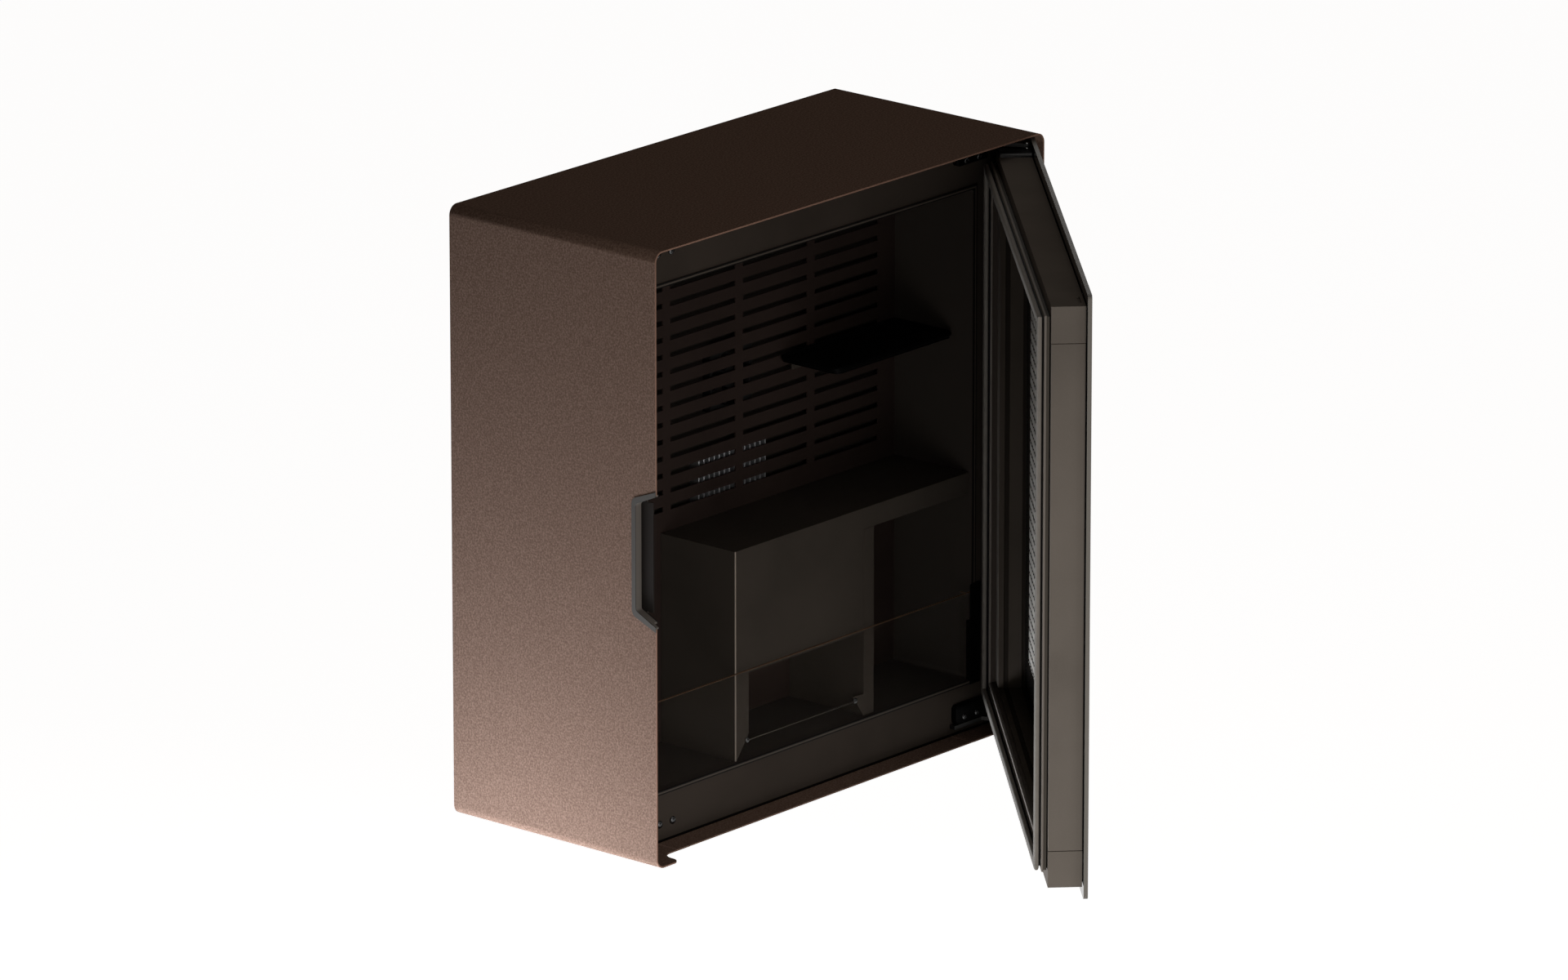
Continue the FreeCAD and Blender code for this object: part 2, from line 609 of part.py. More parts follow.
def make_louvre_panel():
    gap = s.looseGap
    x = (LINING_LEFT + gap, LINING_RIGHT - gap)
    z = (FLOOR + gap, CEILING - gap)
    sheet_y = (LOUVRE, LOUVRE + s.louvreThick)
    face = slab("louvre_sheet", x, sheet_y, z)
    fold_y = (sheet_y[1], LINER_BACK)
    left = slab("louvre_fold_left", (x[0], x[0] + s.louvreThick), fold_y,
                (z[0] + s.liningRadius, z[1] - s.liningRadius))
    right = slab("louvre_fold_right", (x[1] - s.louvreThick, x[1]), fold_y,
                 (z[0] + s.liningRadius, z[1] - s.liningRadius))
    room = x[1] - x[0] - (s.slotMargin + s.slotShift) * 2
    columns = int(room.value // s.slotPitchX.value)
    slots = []
    for row in range(int(s.slotRows.value)):
        z0 = CEILING - s.slotTop - s.slotPitchZ * row
        for column in range(columns):
            x0 = s.slotShift + s.slotPitchX * (column - (columns - 1) / 2)
            slots.append(slab(f"louvre_slot_{row}_{column}",
                              (x0 - s.slotLength / 2, x0 + s.slotLength / 2),
                              (sheet_y[0] - gap, sheet_y[1] + gap), (z0, z0 + s.slotHeight)))
    rounded = round_edges("louvre_corners", fuse("louvre_folded", face, left, right), s.liningRadius, "y",
                          lambda p: abs(p.y - (sheet_y[0] + s.louvreThick / 2).value) < gap.value
                          and abs(p.x) > x[1].value - gap.value)
    piece("louvre_panel", cut("louvre_panel", rounded, *slots))


# Cooling unit


def finned(name, x, base_y, fin_y, z, count):
    # A base plate with upright fins, evenly spaced across its width.
    plate = slab(name + "_base", x, base_y, z)
    wide = x[1] - x[0] - s.finThick
    fins = []
    for number in range(count):
        start = x[0] + wide * (number / (count - 1))
        fins.append(slab(f"{name}_fin_{number}", (start, start + s.finThick), fin_y, z))
    return fuse(name, plate, *fins)


def make_cooling_unit():
    x, z = cold_block_span(0)
    centre = -s.coldDrop
    peltier = (FOAM_BACK - s.peltierThick, FOAM_BACK)
    piece("cold_block", slab("cold_block", x, (LINER_BACK, peltier[0]), z))
    piece("peltier_module", slab("peltier_module", x, peltier, z))
    half = s.finPitch * (s.coldFins.value / 2)
    cold_z = (centre - s.coldHeight / 2, centre + s.coldHeight / 2)
    front = LINER_BACK - s.coldBase
    piece("cold_sink", finned("cold_sink", (-half, half), (front, LINER_BACK),
                              (front - s.coldFinDepth, front), cold_z, int(s.coldFins.value)))
    half = s.finPitch * (s.hotFins.value / 2)
    hot_z = (centre - s.hotHeight / 2, centre + s.hotHeight / 2)
    base = FOAM_BACK + s.hotBase
    tips = base + s.hotFinDepth
    piece("hot_sink", finned("hot_sink", (-half, half), (FOAM_BACK, base), (base, tips), hot_z,
                             int(s.hotFins.value)))
    make_fan("hot_fan", (tips, tips + s.hotFanDepth), centre, s.hotFanSide, s.hotBladeCount)
    lift = centre + s.coldHeight / 2 + s.coldFanLift
    make_fan("cold_fan", (LINER_BACK - s.coldFanDepth, LINER_BACK), lift, s.coldFanSide,
             s.coldBladeCount)


def make_fan(name, y, z, side, blades):
    bore = side / 2 - s.fanRim
    hub = side * s.hubShare / 2
    square = slab(name + "_square", (-side / 2, side / 2), y, (z - side / 2, z + side / 2))
    over = s.fanRim
    hole = post(name + "_bore", "y", 0, (y[0] - over, y[1] + over), z, bore)
    frame = cut(name + "_housing", square, hole)
    strut_y = (y[1] - s.strutDepth, y[1])
    spokes = [
        slab(name + "_strut_across", (-side / 2, side / 2), strut_y,
             (z - s.strutWidth / 2, z + s.strutWidth / 2)),
        slab(name + "_strut_upright", (-s.strutWidth / 2, s.strutWidth / 2), strut_y,
             (z - side / 2, z + side / 2)),
        post(name + "_motor", "y", 0, strut_y, z, hub),
    ]
    socket = post(name + "_socket", "y", 0, (y[0], y[1] + over), z, s.shaftRadius + s.shaftGap)
    piece(name + "_frame", cut(name + "_frame", fuse(name + "_body", frame, *spokes), socket))

    rotor_y = (y[0] + s.tipGap, strut_y[0] - s.tipGap)
    depth = rotor_y[1] - rotor_y[0]
    reach = bore - s.tipGap
    blade = Part.makeBox(reach.value, s.bladeThick.value, depth.value * 2)
    blade.translate(Vector(0, -s.bladeThick.value / 2, -depth.value))
    blade.rotate(Vector(), Vector(1, 0, 0), s.bladePitch.value)
    swept = Part.makeCylinder(reach.value, depth.value, Vector(0, 0, -depth.value / 2))
    wheel = Part.makeCylinder(hub.value, depth.value, Vector(0, 0, -depth.value / 2))
    for number in range(int(blades.value)):
        turned = blade.copy()
        turned.rotate(Vector(), Vector(0, 0, 1), 360 * number / blades.value)
        wheel = wheel.fuse(turned.common(swept))
    shaft_end = (y[1] - rotor_y[1]).value
    shaft = Part.makeCylinder(s.shaftRadius.value, shaft_end + depth.value / 2)
    wheel = wheel.fuse(shaft).removeSplitter()
    rotor = doc.addObject("Part::Feature", name + "_rotor")
    rotor.Shape = wheel
    middle = (rotor_y[0] + depth / 2).value
    rotor.Placement = FreeCAD.Placement(Vector(0, middle, z.value), TURNS["y"])
    piece(name + "_rotor", rotor)


def make_electrics():
    x0 = INNER_LEFT + s.supplySide
    case = slab("power_supply", (x0, x0 + s.supplyLength), (FOAM_BACK, FOAM_BACK + s.supplyDepth),
                (INNER_BOTTOM, INNER_BOTTOM + s.supplyHeight))
    piece("power_supply", case)

    x = (s.boardSide + s.hotFanSide / 2, s.boardSide + s.hotFanSide / 2 + s.boardWidth)
    z = (s.boardLift, s.boardLift + s.boardHeight)
    board_y = (FOAM_BACK + s.standoffLength, FOAM_BACK + s.standoffLength + s.boardThick)
    board = slab("board_plate", x, board_y, z)
    chip = slab("board_chip", (x[0] + s.chipSide, x[0] + s.chipSide * 2),
                (board_y[1], board_y[1] + s.chipHeight), (z[0] + s.chipSide, z[0] + s.chipSide * 2))
    coil = slab("board_coil", (x[1] - s.coilSide * 2, x[1] - s.coilSide),
                (board_y[1], board_y[1] + s.coilHeight), (z[1] - s.coilSide * 2, z[1] - s.coilSide))
    piece("control_board", fuse("control_board", board, chip, coil))
    legs = []
    for number, (a, b) in enumerate(((0, 0), (1, 0), (0, 1), (1, 1))):
        px = x[a] + s.standoffInset * (1 - 2 * a)
        pz = z[b] + s.standoffInset * (1 - 2 * b)
        legs.append(post(f"board_leg_{number}", "y", px, (FOAM_BACK, board_y[0]), pz, s.standoffRadius))
    piece("board_standoffs", group("board_standoffs", *legs))

    x, z = inlet_span(), inlet_rise()
    rim_x = (x[0] - s.inletRim, x[1] + s.inletRim)
    rim_z = (z[0] - s.inletRim, z[1] + s.inletRim)
    rim = slab("inlet_rim", rim_x, (PANEL_BACK, PANEL_BACK + s.inletLip), rim_z)
    shell = slab("inlet_shell", x, (PANEL_BACK - s.inletDepth, PANEL_BACK), z)
    wall = s.inletWall
    well = slab("inlet_well", (x[0] + wall, x[1] - wall),
                (PANEL_BACK - s.inletDepth + wall, PANEL_BACK + s.inletLip * 2),
                (z[0] + wall, z[1] - wall))
    socket = cut("inlet_socket", fuse("inlet_solid", rim, shell), well)
    pins = []
    middle = (z[0] + z[1]) / 2
    for number in (-1, 0, 1):
        px = s.inletSide + s.pinPitch * number
        floor = PANEL_BACK - s.inletDepth + wall
        pins.append(slab(f"inlet_pin_{number + 1}", (px - s.pinThick / 2, px + s.pinThick / 2),
                         (floor, floor + s.pinLength), (middle - s.pinWidth / 2, middle + s.pinWidth / 2)))
    piece("power_inlet", fuse("power_inlet", socket, *pins))

    y0 = LOUVRE - s.lampBack
    half = s.lampWidth / 2
    low = CEILING - s.lampHeight
    case = slab("lamp_case", (-half, half), (y0 - s.lampDepth, y0), (low + s.lensThick, CEILING))
    piece("lamp_housing", case)
    piece("lamp_lens", slab("lamp_lens", (-half, half), (y0 - s.lampDepth, y0), (low, low + s.lensThick)))


# Shelves


def make_shelves():
    t = s.shelfSheet
    gap = s.looseGap
    left = LINING_LEFT + s.shelfLeft
    right = LINING_RIGHT - gap
    front = FACE + s.shelfSetBack
    back = LOUVRE - gap
    y = (front, back)
    top = FLOOR + s.shelfTop
    panel_right = left + s.panelWidth
    panel_low = top - s.panelHeight
    parts = [
        slab("shelf_top", (left, right), y, (top - t, top)),
        slab("shelf_wall", (left, left + t), y, (FLOOR, top)),
        slab("shelf_panel", (left, panel_right), (front, front + t), (panel_low, top)),
        slab("shelf_flange", (panel_right, right), (front, front + t), (top - s.flangeHeight, top)),
        prism("shelf_strip", [
            (left, front, panel_low),
            (left + s.stripWidth, front, panel_low),
            (left + s.stripWidth, front, FLOOR + s.stripFootHeight),
            (left + s.stripFootWidth, front, FLOOR),
            (left, front, FLOOR),
        ], (0, t, 0)),
    ]
    pin_left = left + s.stripWidth - s.pinInset
    pin_right = panel_right - s.tabWidth + s.pinInset
    rod_z = FLOOR + s.rodHeight
    rod_y = front - s.pinHeadDepth / 2
    piece("main_shelf", fuse("main_shelf", *parts))

    wall_z = (FLOOR, top - t)
    strip_z = (FLOOR, top - s.flangeHeight)
    tab = prism("cubby_tab", [
        (panel_right, front, FLOOR + s.tabHeight),
        (panel_right - s.tabWidth, front, FLOOR + s.tabHeight),
        (panel_right, front, FLOOR),
    ], (0, t, 0))
    wall = fuse("cubby_wall",
                slab("cubby_sheet", (panel_right, panel_right + t), (front + t, back), wall_z),
                slab("cubby_strip", (panel_right, panel_right + s.rightStripWidth), (front, front + t),
                     strip_z), tab)
    piece("cubby_wall", wall)

    rod = post("cubby_rod", "x", (pin_left - s.pinRadius, pin_right + s.pinRadius), rod_y, rod_z,
               s.rodRadius)
    piece("cubby_rod", rod)
    pins = []
    bore = post("cubby_rod_bore", "x", (left, panel_right), rod_y, rod_z, s.rodRadius + s.rodGap)
    for number, x0 in enumerate((pin_left, pin_right)):
        head = post(f"pin_head_{number}", "y", x0, (front - s.pinHeadDepth, front), rod_z, s.pinRadius)
        pins.append(cut(f"cubby_pin_{number}", head, bore))
    piece("rod_pins", group("rod_pins", *pins))

    upper_top = FLOOR + s.upperTop
    upper_low = upper_top - s.upperThick
    upper_left = right - s.upperWidth
    upper_y = (FACE + s.upperSetBack, back)
    board = slab("upper_shelf_board", (upper_left, right), upper_y, (upper_low, upper_top))
    rounded = round_edges("upper_shelf", board, s.upperRadius, "z",
                          lambda p: abs(p.y - upper_y[0].value) < t.value)
    piece("upper_shelf", rounded)
    angle = [
        slab("angle_upright", (upper_left + s.angleInset, right - s.angleInset), (back - t, back),
             (upper_low - s.angleWidth, upper_low)),
        slab("angle_ledge", (upper_left + s.angleInset, right - s.angleInset),
             (back - s.angleWidth, back), (upper_low - t, upper_low)),
    ]
    piece("upper_shelf_angle", fuse("upper_shelf_angle", *angle))
    pegs = []
    for level, under in enumerate((top - t, upper_low)):
        for number in (0, 1):
            y0 = (upper_y[0] + s.pegInset) if number == 0 else (back - s.pegInset)
            pegs.append(post(f"peg_{level}{number}", "x", (LINING_RIGHT - s.pegLength, LINING_RIGHT), y0,
                             under - s.pegRadius, s.pegRadius))
    piece("shelf_pegs", group("shelf_pegs", *pegs))


# Guard pane across the front


def make_guard(liner):
    y = (FACE - s.guardProud, FACE - s.guardProud + s.guardThick)
    half = LINING_RIGHT - s.guardSideGap
    z = (FLOOR + s.guardBottom, FLOOR + s.guardBottom + s.guardHeight)
    turn_x = half - s.guardReturnInset
    bent = [slab("guard_sheet", (-half, half), y, z)]
    tools = []
    for side in (-1, 1):
        span = mirrored(side, turn_x - s.guardThick, turn_x)
        bent.append(slab(f"guard_return_{side + 1}", span, (y[1], y[1] + s.guardReturn), z))
        rear = y[1] + s.guardReturn
        for level, z0 in enumerate((z[1] - s.notchTop, z[0] + s.notchBottom)):
            tools.append(slab(f"guard_notch_{side + 1}{level}", span, (rear - s.notchWidth, rear),
                              (z0 - s.notchHeight, z0)))
        tools.append(post(f"guard_hole_{side + 1}", "y", (turn_x - s.guardHoleInset) * side,
                          (y[0] - s.guardThick, y[1] + s.guardThick), z[1] - s.notchTop,
                          s.guardHoleRadius))
    piece("guard_pane", cut("guard_pane", fuse("guard_bent", *bent), *tools))

    bead = LINING_RIGHT + s.beadWidth
    inner = LINING_RIGHT - s.channelInside
    cover = (FACE - s.beadProud - s.channelSheet, FACE - s.beadProud)
    rib = (y[1] + s.grooveGap, y[1] + s.grooveGap + s.channelSheet)
    low = FLOOR - s.beadWidth
    for side, node in ((-1, "guard_channel_left"), (1, "guard_channel_right")):
        within = mirrored(side, inner, LINING_RIGHT)
        parts = [
            slab(node + "_cover", mirrored(side, inner, bead + s.channelOutside), cover,
                 (low, low + s.channelHeight)),
            slab(node + "_foot", mirrored(side, bead, bead + s.channelOutside), (cover[1], FACE),
                 (low, low + s.channelHeight)),
            slab(node + "_stop", within, (cover[1], rib[1]), (FLOOR, z[0] - s.grooveGap)),
            slab(node + "_rib", within, rib, (FLOOR, FLOOR + s.channelRib)),
        ]
        piece(node, cut(node, fuse(node + "_joined", *parts), liner))


def mirrored(side, near, far):
    # The span from near to far of the middle, on the left (-1) or the right (1).
    return (-far, -near) if side < 0 else (near, far)


# Door hinges


def block_span():
    right = RIGHT - s.blockSideGap
    return (right - s.blockWidth, right)


def arm_shape(name, z):
    # A flat arm from the block's seat on the frame forward to the eye round the pin.
    x = block_span()
    y = (FACE - s.blockDepth, FACE)
    seat = slab(name + "_seat", x, y, z)
    root = Vector((x[1] - s.eyeRadius).value, y[0].value, 0)
    eye = Vector(PIVOT_X.value, PIVOT_Y.value, 0)
    way = (eye - root).normalize()
    across = Vector(-way.y, way.x, 0) * s.eyeRadius.value
    root = root - way * s.eyeRadius.value
    low = Vector(0, 0, z[0].value)
    dots = [tuple(p + low) for p in (root + across, eye + across, eye - across, root - across)]
    link = prism(name + "_link", dots, (0, 0, s.armThick))
    cap = post(name + "_eye", "z", PIVOT_X, PIVOT_Y, z, s.eyeRadius)
    bore = post(name + "_bore", "z", PIVOT_X, PIVOT_Y, (z[0] - s.armThick, z[1] + s.armThick),
                s.pinHingeRadius + s.pinGap)
    return cut(name, fuse(name + "_solid", seat, link, cap), bore)


def hinge_levels():
    low = (BOTTOM + s.armRise, BOTTOM + s.armRise + s.armThick)
    high = (TOP - s.armDrop - s.armThick, TOP - s.armDrop)
    return low, high


def door_levels():
    glass = (BOTTOM + s.glassBottom, TOP - s.glassTop)
    return glass, (glass[0] + s.bodyBottom, glass[1] - s.bodyTop)


def make_hinges():
    low, high = hinge_levels()
    glass, frame = door_levels()
    x = block_span()
    y = (FACE - s.blockDepth, FACE)
    piece("lower_hinge_arm", arm_shape("lower_hinge_arm", low))
    piece("upper_hinge_arm", arm_shape("upper_hinge_arm", high))
    low_block = (low[1], low[1] + s.lowBlockHeight)
    high_block = (high[0] - s.highBlockHeight, high[0])
    screws = []
    levels = (("lower_hinge_block", low_block, BOTTOM + s.plugLow),
              ("upper_hinge_block", high_block, TOP - s.plugHigh))
    for node, z, screw_z in levels:
        block = slab(node + "_bar", x, y, z)
        holes = []
        for number in (-1, 1):
            x0 = (x[0] + x[1]) / 2 + s.plugPitch * (number / 2)
            holes.append(post(f"{node}_hole_{number + 1}", "y", x0, (y[0] - s.armThick, y[1]), screw_z,
                              s.plugShank + s.screwGap))
            head = post(f"{node}_head_{number + 1}", "y", x0, (y[0] - s.hingeScrewHead, y[0]), screw_z,
                        s.hingeScrewRadius)
            shank = post(f"{node}_shank_{number + 1}", "y", x0, (y[0], y[1]), screw_z, s.plugShank)
            screws.append(fuse(f"{node}_screw_{number + 1}", head, shank))
        piece(node, cut(node, block, *holes))
    piece("hinge_screws", group("hinge_screws", *screws))

    block_x = (RIGHT - s.pivotBlockSide - s.bodySide / 2 - s.pivotBlockWidth,
               RIGHT - s.pivotBlockSide - s.bodySide / 2)
    block_y = (FRONT + s.glassThick + s.tapeThick, FRONT + s.glassThick + s.tapeThick + s.pivotBlockDepth)
    below = (frame[0] - s.pivotBlockThick, frame[0])
    above = (frame[1], frame[1] + s.pivotBlockThick)
    lower_pin = (low[0] - s.pinEnd, frame[0] + s.pinSeat)
    upper_pin = (frame[1] - s.pinSeat, high[1] + s.pinEnd)
    tools = {}
    for node, z, pin in (("lower_pivot", below, lower_pin), ("upper_pivot", above, upper_pin)):
        bar = slab(node + "_plate", block_x, block_y, z)
        hole = post(node + "_hole", "z", PIVOT_X, PIVOT_Y, pin, s.pinHingeRadius)
        door_piece(node + "_block", cut(node + "_block", bar, hole))
        door_piece(node + "_pin", post(node + "_pin", "z", PIVOT_X, PIVOT_Y, pin, s.pinHingeRadius))
        tools[node] = post(node + "_seat", "z", PIVOT_X, PIVOT_Y, pin, s.pinHingeRadius)
    bush_z = (low[1] + s.bushGap, below[0])
    sleeve = post("pivot_bush_sleeve", "z", PIVOT_X, PIVOT_Y, bush_z, s.bushRadius)
    core = post("pivot_bush_core", "z", PIVOT_X, PIVOT_Y, bush_z, s.pinHingeRadius)
    door_piece("pivot_bush", cut("pivot_bush", sleeve, core))
    return tools


# Door


def make_door(pin_seats):
    glass_z, body_z = door_levels()
    glass_x = (LEFT + s.glassSide, RIGHT - s.glassSide)
    glass = doc.addObject("PartDesign::Body", "door_glass_body")
    front_pad(glass, "glass_block", glass_x, (FRONT, FRONT + s.glassThick), glass_z)
    body_fillet(glass, "glass_corners", s.glassRadius, glass_x, glass_z)
    door_piece("door_glass", glass)

    x = (glass_x[0] + s.bodySide, glass_x[1] - s.bodySide)
    tape_y = (FRONT + s.glassThick, FRONT + s.glassThick + s.tapeThick)
    tape_x = (x[0] + s.tapeInset, x[1] - s.tapeInset)
    tape_z = (body_z[0] + s.tapeInset, body_z[1] - s.tapeInset)
    door_piece("glass_tape", ring("glass_tape", tape_x, tape_y, tape_z, s.tapeWidth))

    y = (tape_y[1], tape_y[1] + s.bodyThick)
    window_x = (x[0] + s.stileWidth, x[1] - s.stileWidth)
    window_z = (body_z[0] + s.railHeight, body_z[1] - s.railHeight)
    pane_y = (FRONT + s.paneSetBack, FRONT + s.paneSetBack + s.paneThick)
    pane_x = (window_x[0] - s.paneGroove, window_x[1] + s.paneGroove)
    pane_z = (window_z[0] - s.paneGroove, window_z[1] + s.paneGroove)
    door_piece("inner_pane", slab("inner_pane", pane_x, pane_y, pane_z))

    catch_x = (x[0] + s.catchInset, x[0] + s.catchInset + s.catchLength)
    catch_y = (y[0] + s.catchWidth, y[0] + s.catchWidth * 2)
    catch = slab("catch_slot", catch_x, catch_y, (body_z[1] - s.catchDepth, body_z[1] + s.catchDepth))
    profiles = (
        ("door_top_rail", x, (window_z[1], body_z[1]), [catch, pin_seats["upper_pivot"]]),
        ("door_bottom_rail", x, (body_z[0], window_z[0]), [pin_seats["lower_pivot"]]),
        ("door_hinge_stile", (window_x[1], x[1]), window_z, []),
        ("door_free_stile", (x[0], window_x[0]), window_z, []),
    )
    for node, span, rise, tools in profiles:
        bar = slab(node + "_bar", span, y, rise)
        groove = slab(node + "_groove", pane_x, pane_y, pane_z)
        door_piece(node, cut(node, bar, groove, *tools))

    trim_x = (x[0] + s.trimSide, x[1] - s.trimSide)
    trim_z = (body_z[0] + s.trimBottom, body_z[1] - s.trimTop)
    neck_y = (y[1], y[1] + s.neckThick)
    trim_y = (neck_y[1], neck_y[1] + s.trimThick)
    neck = ring("trim_neck", (trim_x[0] + s.neckInset, trim_x[1] - s.neckInset), neck_y,
                (trim_z[0] + s.neckInset, trim_z[1] - s.neckInset), s.trimWidth - s.neckInset)
    plate = ring("trim_plate", trim_x, trim_y, trim_z, s.trimWidth)
    door_piece("door_inner_frame", fuse("door_inner_frame", neck, plate))

    seal_x = (trim_x[0] + s.gasketInset, trim_x[1] - s.gasketInset)
    seal_z = (trim_z[0] + s.gasketInset, trim_z[1] - s.gasketInset)
    root_y = (trim_y[1], trim_y[1] + s.gasketNeck)
    seal_y = (root_y[1], root_y[1] + s.gasketThick)
    root = ring("gasket_root", (seal_x[0] + s.neckInset, seal_x[1] - s.neckInset), root_y,
                (seal_z[0] + s.neckInset, seal_z[1] - s.neckInset), s.gasketWidth - s.neckInset * 2)
    lobe = ring("gasket_lobe", seal_x, seal_y, seal_z, s.gasketWidth)
    inset = (s.gasketWidth - s.magnetWidth) / 2
    low_y = seal_y[0] + s.magnetSetBack
    magnet_y = (low_y, low_y + s.magnetThick)
    mx = (seal_x[0] + inset, seal_x[1] - inset)
    mz = (seal_z[0] + inset, seal_z[1] - inset)
    inner_z = (mz[0] + s.magnetWidth, mz[1] - s.magnetWidth)

    def strips(prefix):
        return [
            slab(prefix + "_low", mx, magnet_y, (mz[0], inner_z[0])),
            slab(prefix + "_high", mx, magnet_y, (inner_z[1], mz[1])),
            slab(prefix + "_free", (mx[0], mx[0] + s.magnetWidth), magnet_y, inner_z),
            slab(prefix + "_hinge", (mx[1] - s.magnetWidth, mx[1]), magnet_y, inner_z),
        ]

    door_piece("door_gasket", cut("door_gasket", fuse("gasket_solid", root, lobe), *strips("pocket")))
    door_piece("magnet_strips", group("magnet_strips", *strips("magnet")))


def check_document():
    doc.recompute()
    for item in doc.Objects:
        if "Invalid" in item.State or "Error" in item.State:
            raise RuntimeError(f"{item.Label}: {item.State}")
    for item in pieces:
        if item.Shape.isNull() or not item.Shape.isValid():
            raise RuntimeError(f"{item.Label}: bad shape")


def write_pieces():
    os.makedirs("parts", exist_ok=True)
    for item in pieces:
        item.Shape.exportStep(os.path.join("parts", item.Label + ".step"))
        print(f"{item.Label:24s} solids {len(item.Shape.Solids):3d} volume {item.Shape.Volume:12.1f}")


make_outer_shell()
make_grip_trim()
make_bottom_panel()
make_back_panel()
make_wall_plate()
make_face_frame()
liner = make_inner_liner()
make_foam()
make_louvre_panel()
make_cooling_unit()
make_electrics()
make_shelves()
make_guard(liner)
seats = make_hinges()
make_door(seats)
check_document()
write_pieces()
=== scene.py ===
import json
import math

import bmesh
import bpy
import numpy as np
from mathutils import Matrix, Vector


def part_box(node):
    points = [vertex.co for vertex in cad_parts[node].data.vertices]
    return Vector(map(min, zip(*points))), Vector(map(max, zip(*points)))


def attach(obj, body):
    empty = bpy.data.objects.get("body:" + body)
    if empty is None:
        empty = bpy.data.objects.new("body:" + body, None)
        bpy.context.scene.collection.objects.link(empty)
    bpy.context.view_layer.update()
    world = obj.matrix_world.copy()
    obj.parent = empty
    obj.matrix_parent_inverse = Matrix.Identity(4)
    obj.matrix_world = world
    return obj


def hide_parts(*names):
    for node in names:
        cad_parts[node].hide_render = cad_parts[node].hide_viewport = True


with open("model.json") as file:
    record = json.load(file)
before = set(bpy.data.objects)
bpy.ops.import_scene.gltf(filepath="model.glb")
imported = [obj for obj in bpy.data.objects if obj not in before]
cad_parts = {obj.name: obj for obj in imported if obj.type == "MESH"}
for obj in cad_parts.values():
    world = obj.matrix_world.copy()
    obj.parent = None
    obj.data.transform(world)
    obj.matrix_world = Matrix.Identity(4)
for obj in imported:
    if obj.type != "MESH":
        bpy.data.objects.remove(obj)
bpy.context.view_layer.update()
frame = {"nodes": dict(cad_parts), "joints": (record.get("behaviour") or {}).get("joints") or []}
nodes = frame["nodes"]
mm = 0.001
print("frame loaded:", len(nodes), "nodes")

# The door is drawn shut and then turned about its pin to the angle where it stands open.
doorJoint = next(joint for joint in frame["joints"] if joint["name"] == "door_hinge")
pinPlace = np.array(doorJoint["pos_m"])
doorTurn = math.radians(-doorJoint["range_deg"][0])


def turned(points, angle):
    # points turned about the upright line through the pin
    rotation = np.array(Matrix.Rotation(angle, 3, "Z"))
    return (np.asarray(points, float) - pinPlace) @ rotation.T + pinPlace


def vertexArray(node):
    flat = np.empty(len(nodes[node].data.vertices) * 3, np.float32)
    nodes[node].data.vertices.foreach_get("co", flat)
    return flat.reshape(-1, 3).astype(float)


def shutBox(node):
    # low and high corners of a door piece when the door is shut
    points = turned(vertexArray(node), -doorTurn)
    return points.min(0), points.max(0)


# Shader maths

class Wire:
    # one output of a node; sums and products with it add Math nodes
    def __init__(self, paint, socket):
        self.paint = paint
        self.socket = socket

    def calc(self, operation, first, second):
        return self.paint.node("ShaderNodeMath", {"operation": operation}, {0: first, 1: second})

    def __add__(self, other):
        return self.calc("ADD", self, other)

    def __sub__(self, other):
        return self.calc("SUBTRACT", self, other)

    def __rsub__(self, other):
        return self.calc("SUBTRACT", other, self)

    def __mul__(self, other):
        return self.calc("MULTIPLY", self, other)

    def __gt__(self, other):
        return self.calc("GREATER_THAN", self, other)

    def __lt__(self, other):
        return self.calc("LESS_THAN", self, other)

    def __abs__(self):
        return self.calc("ABSOLUTE", self, 0.0)

    __radd__ = __add__
    __rmul__ = __mul__


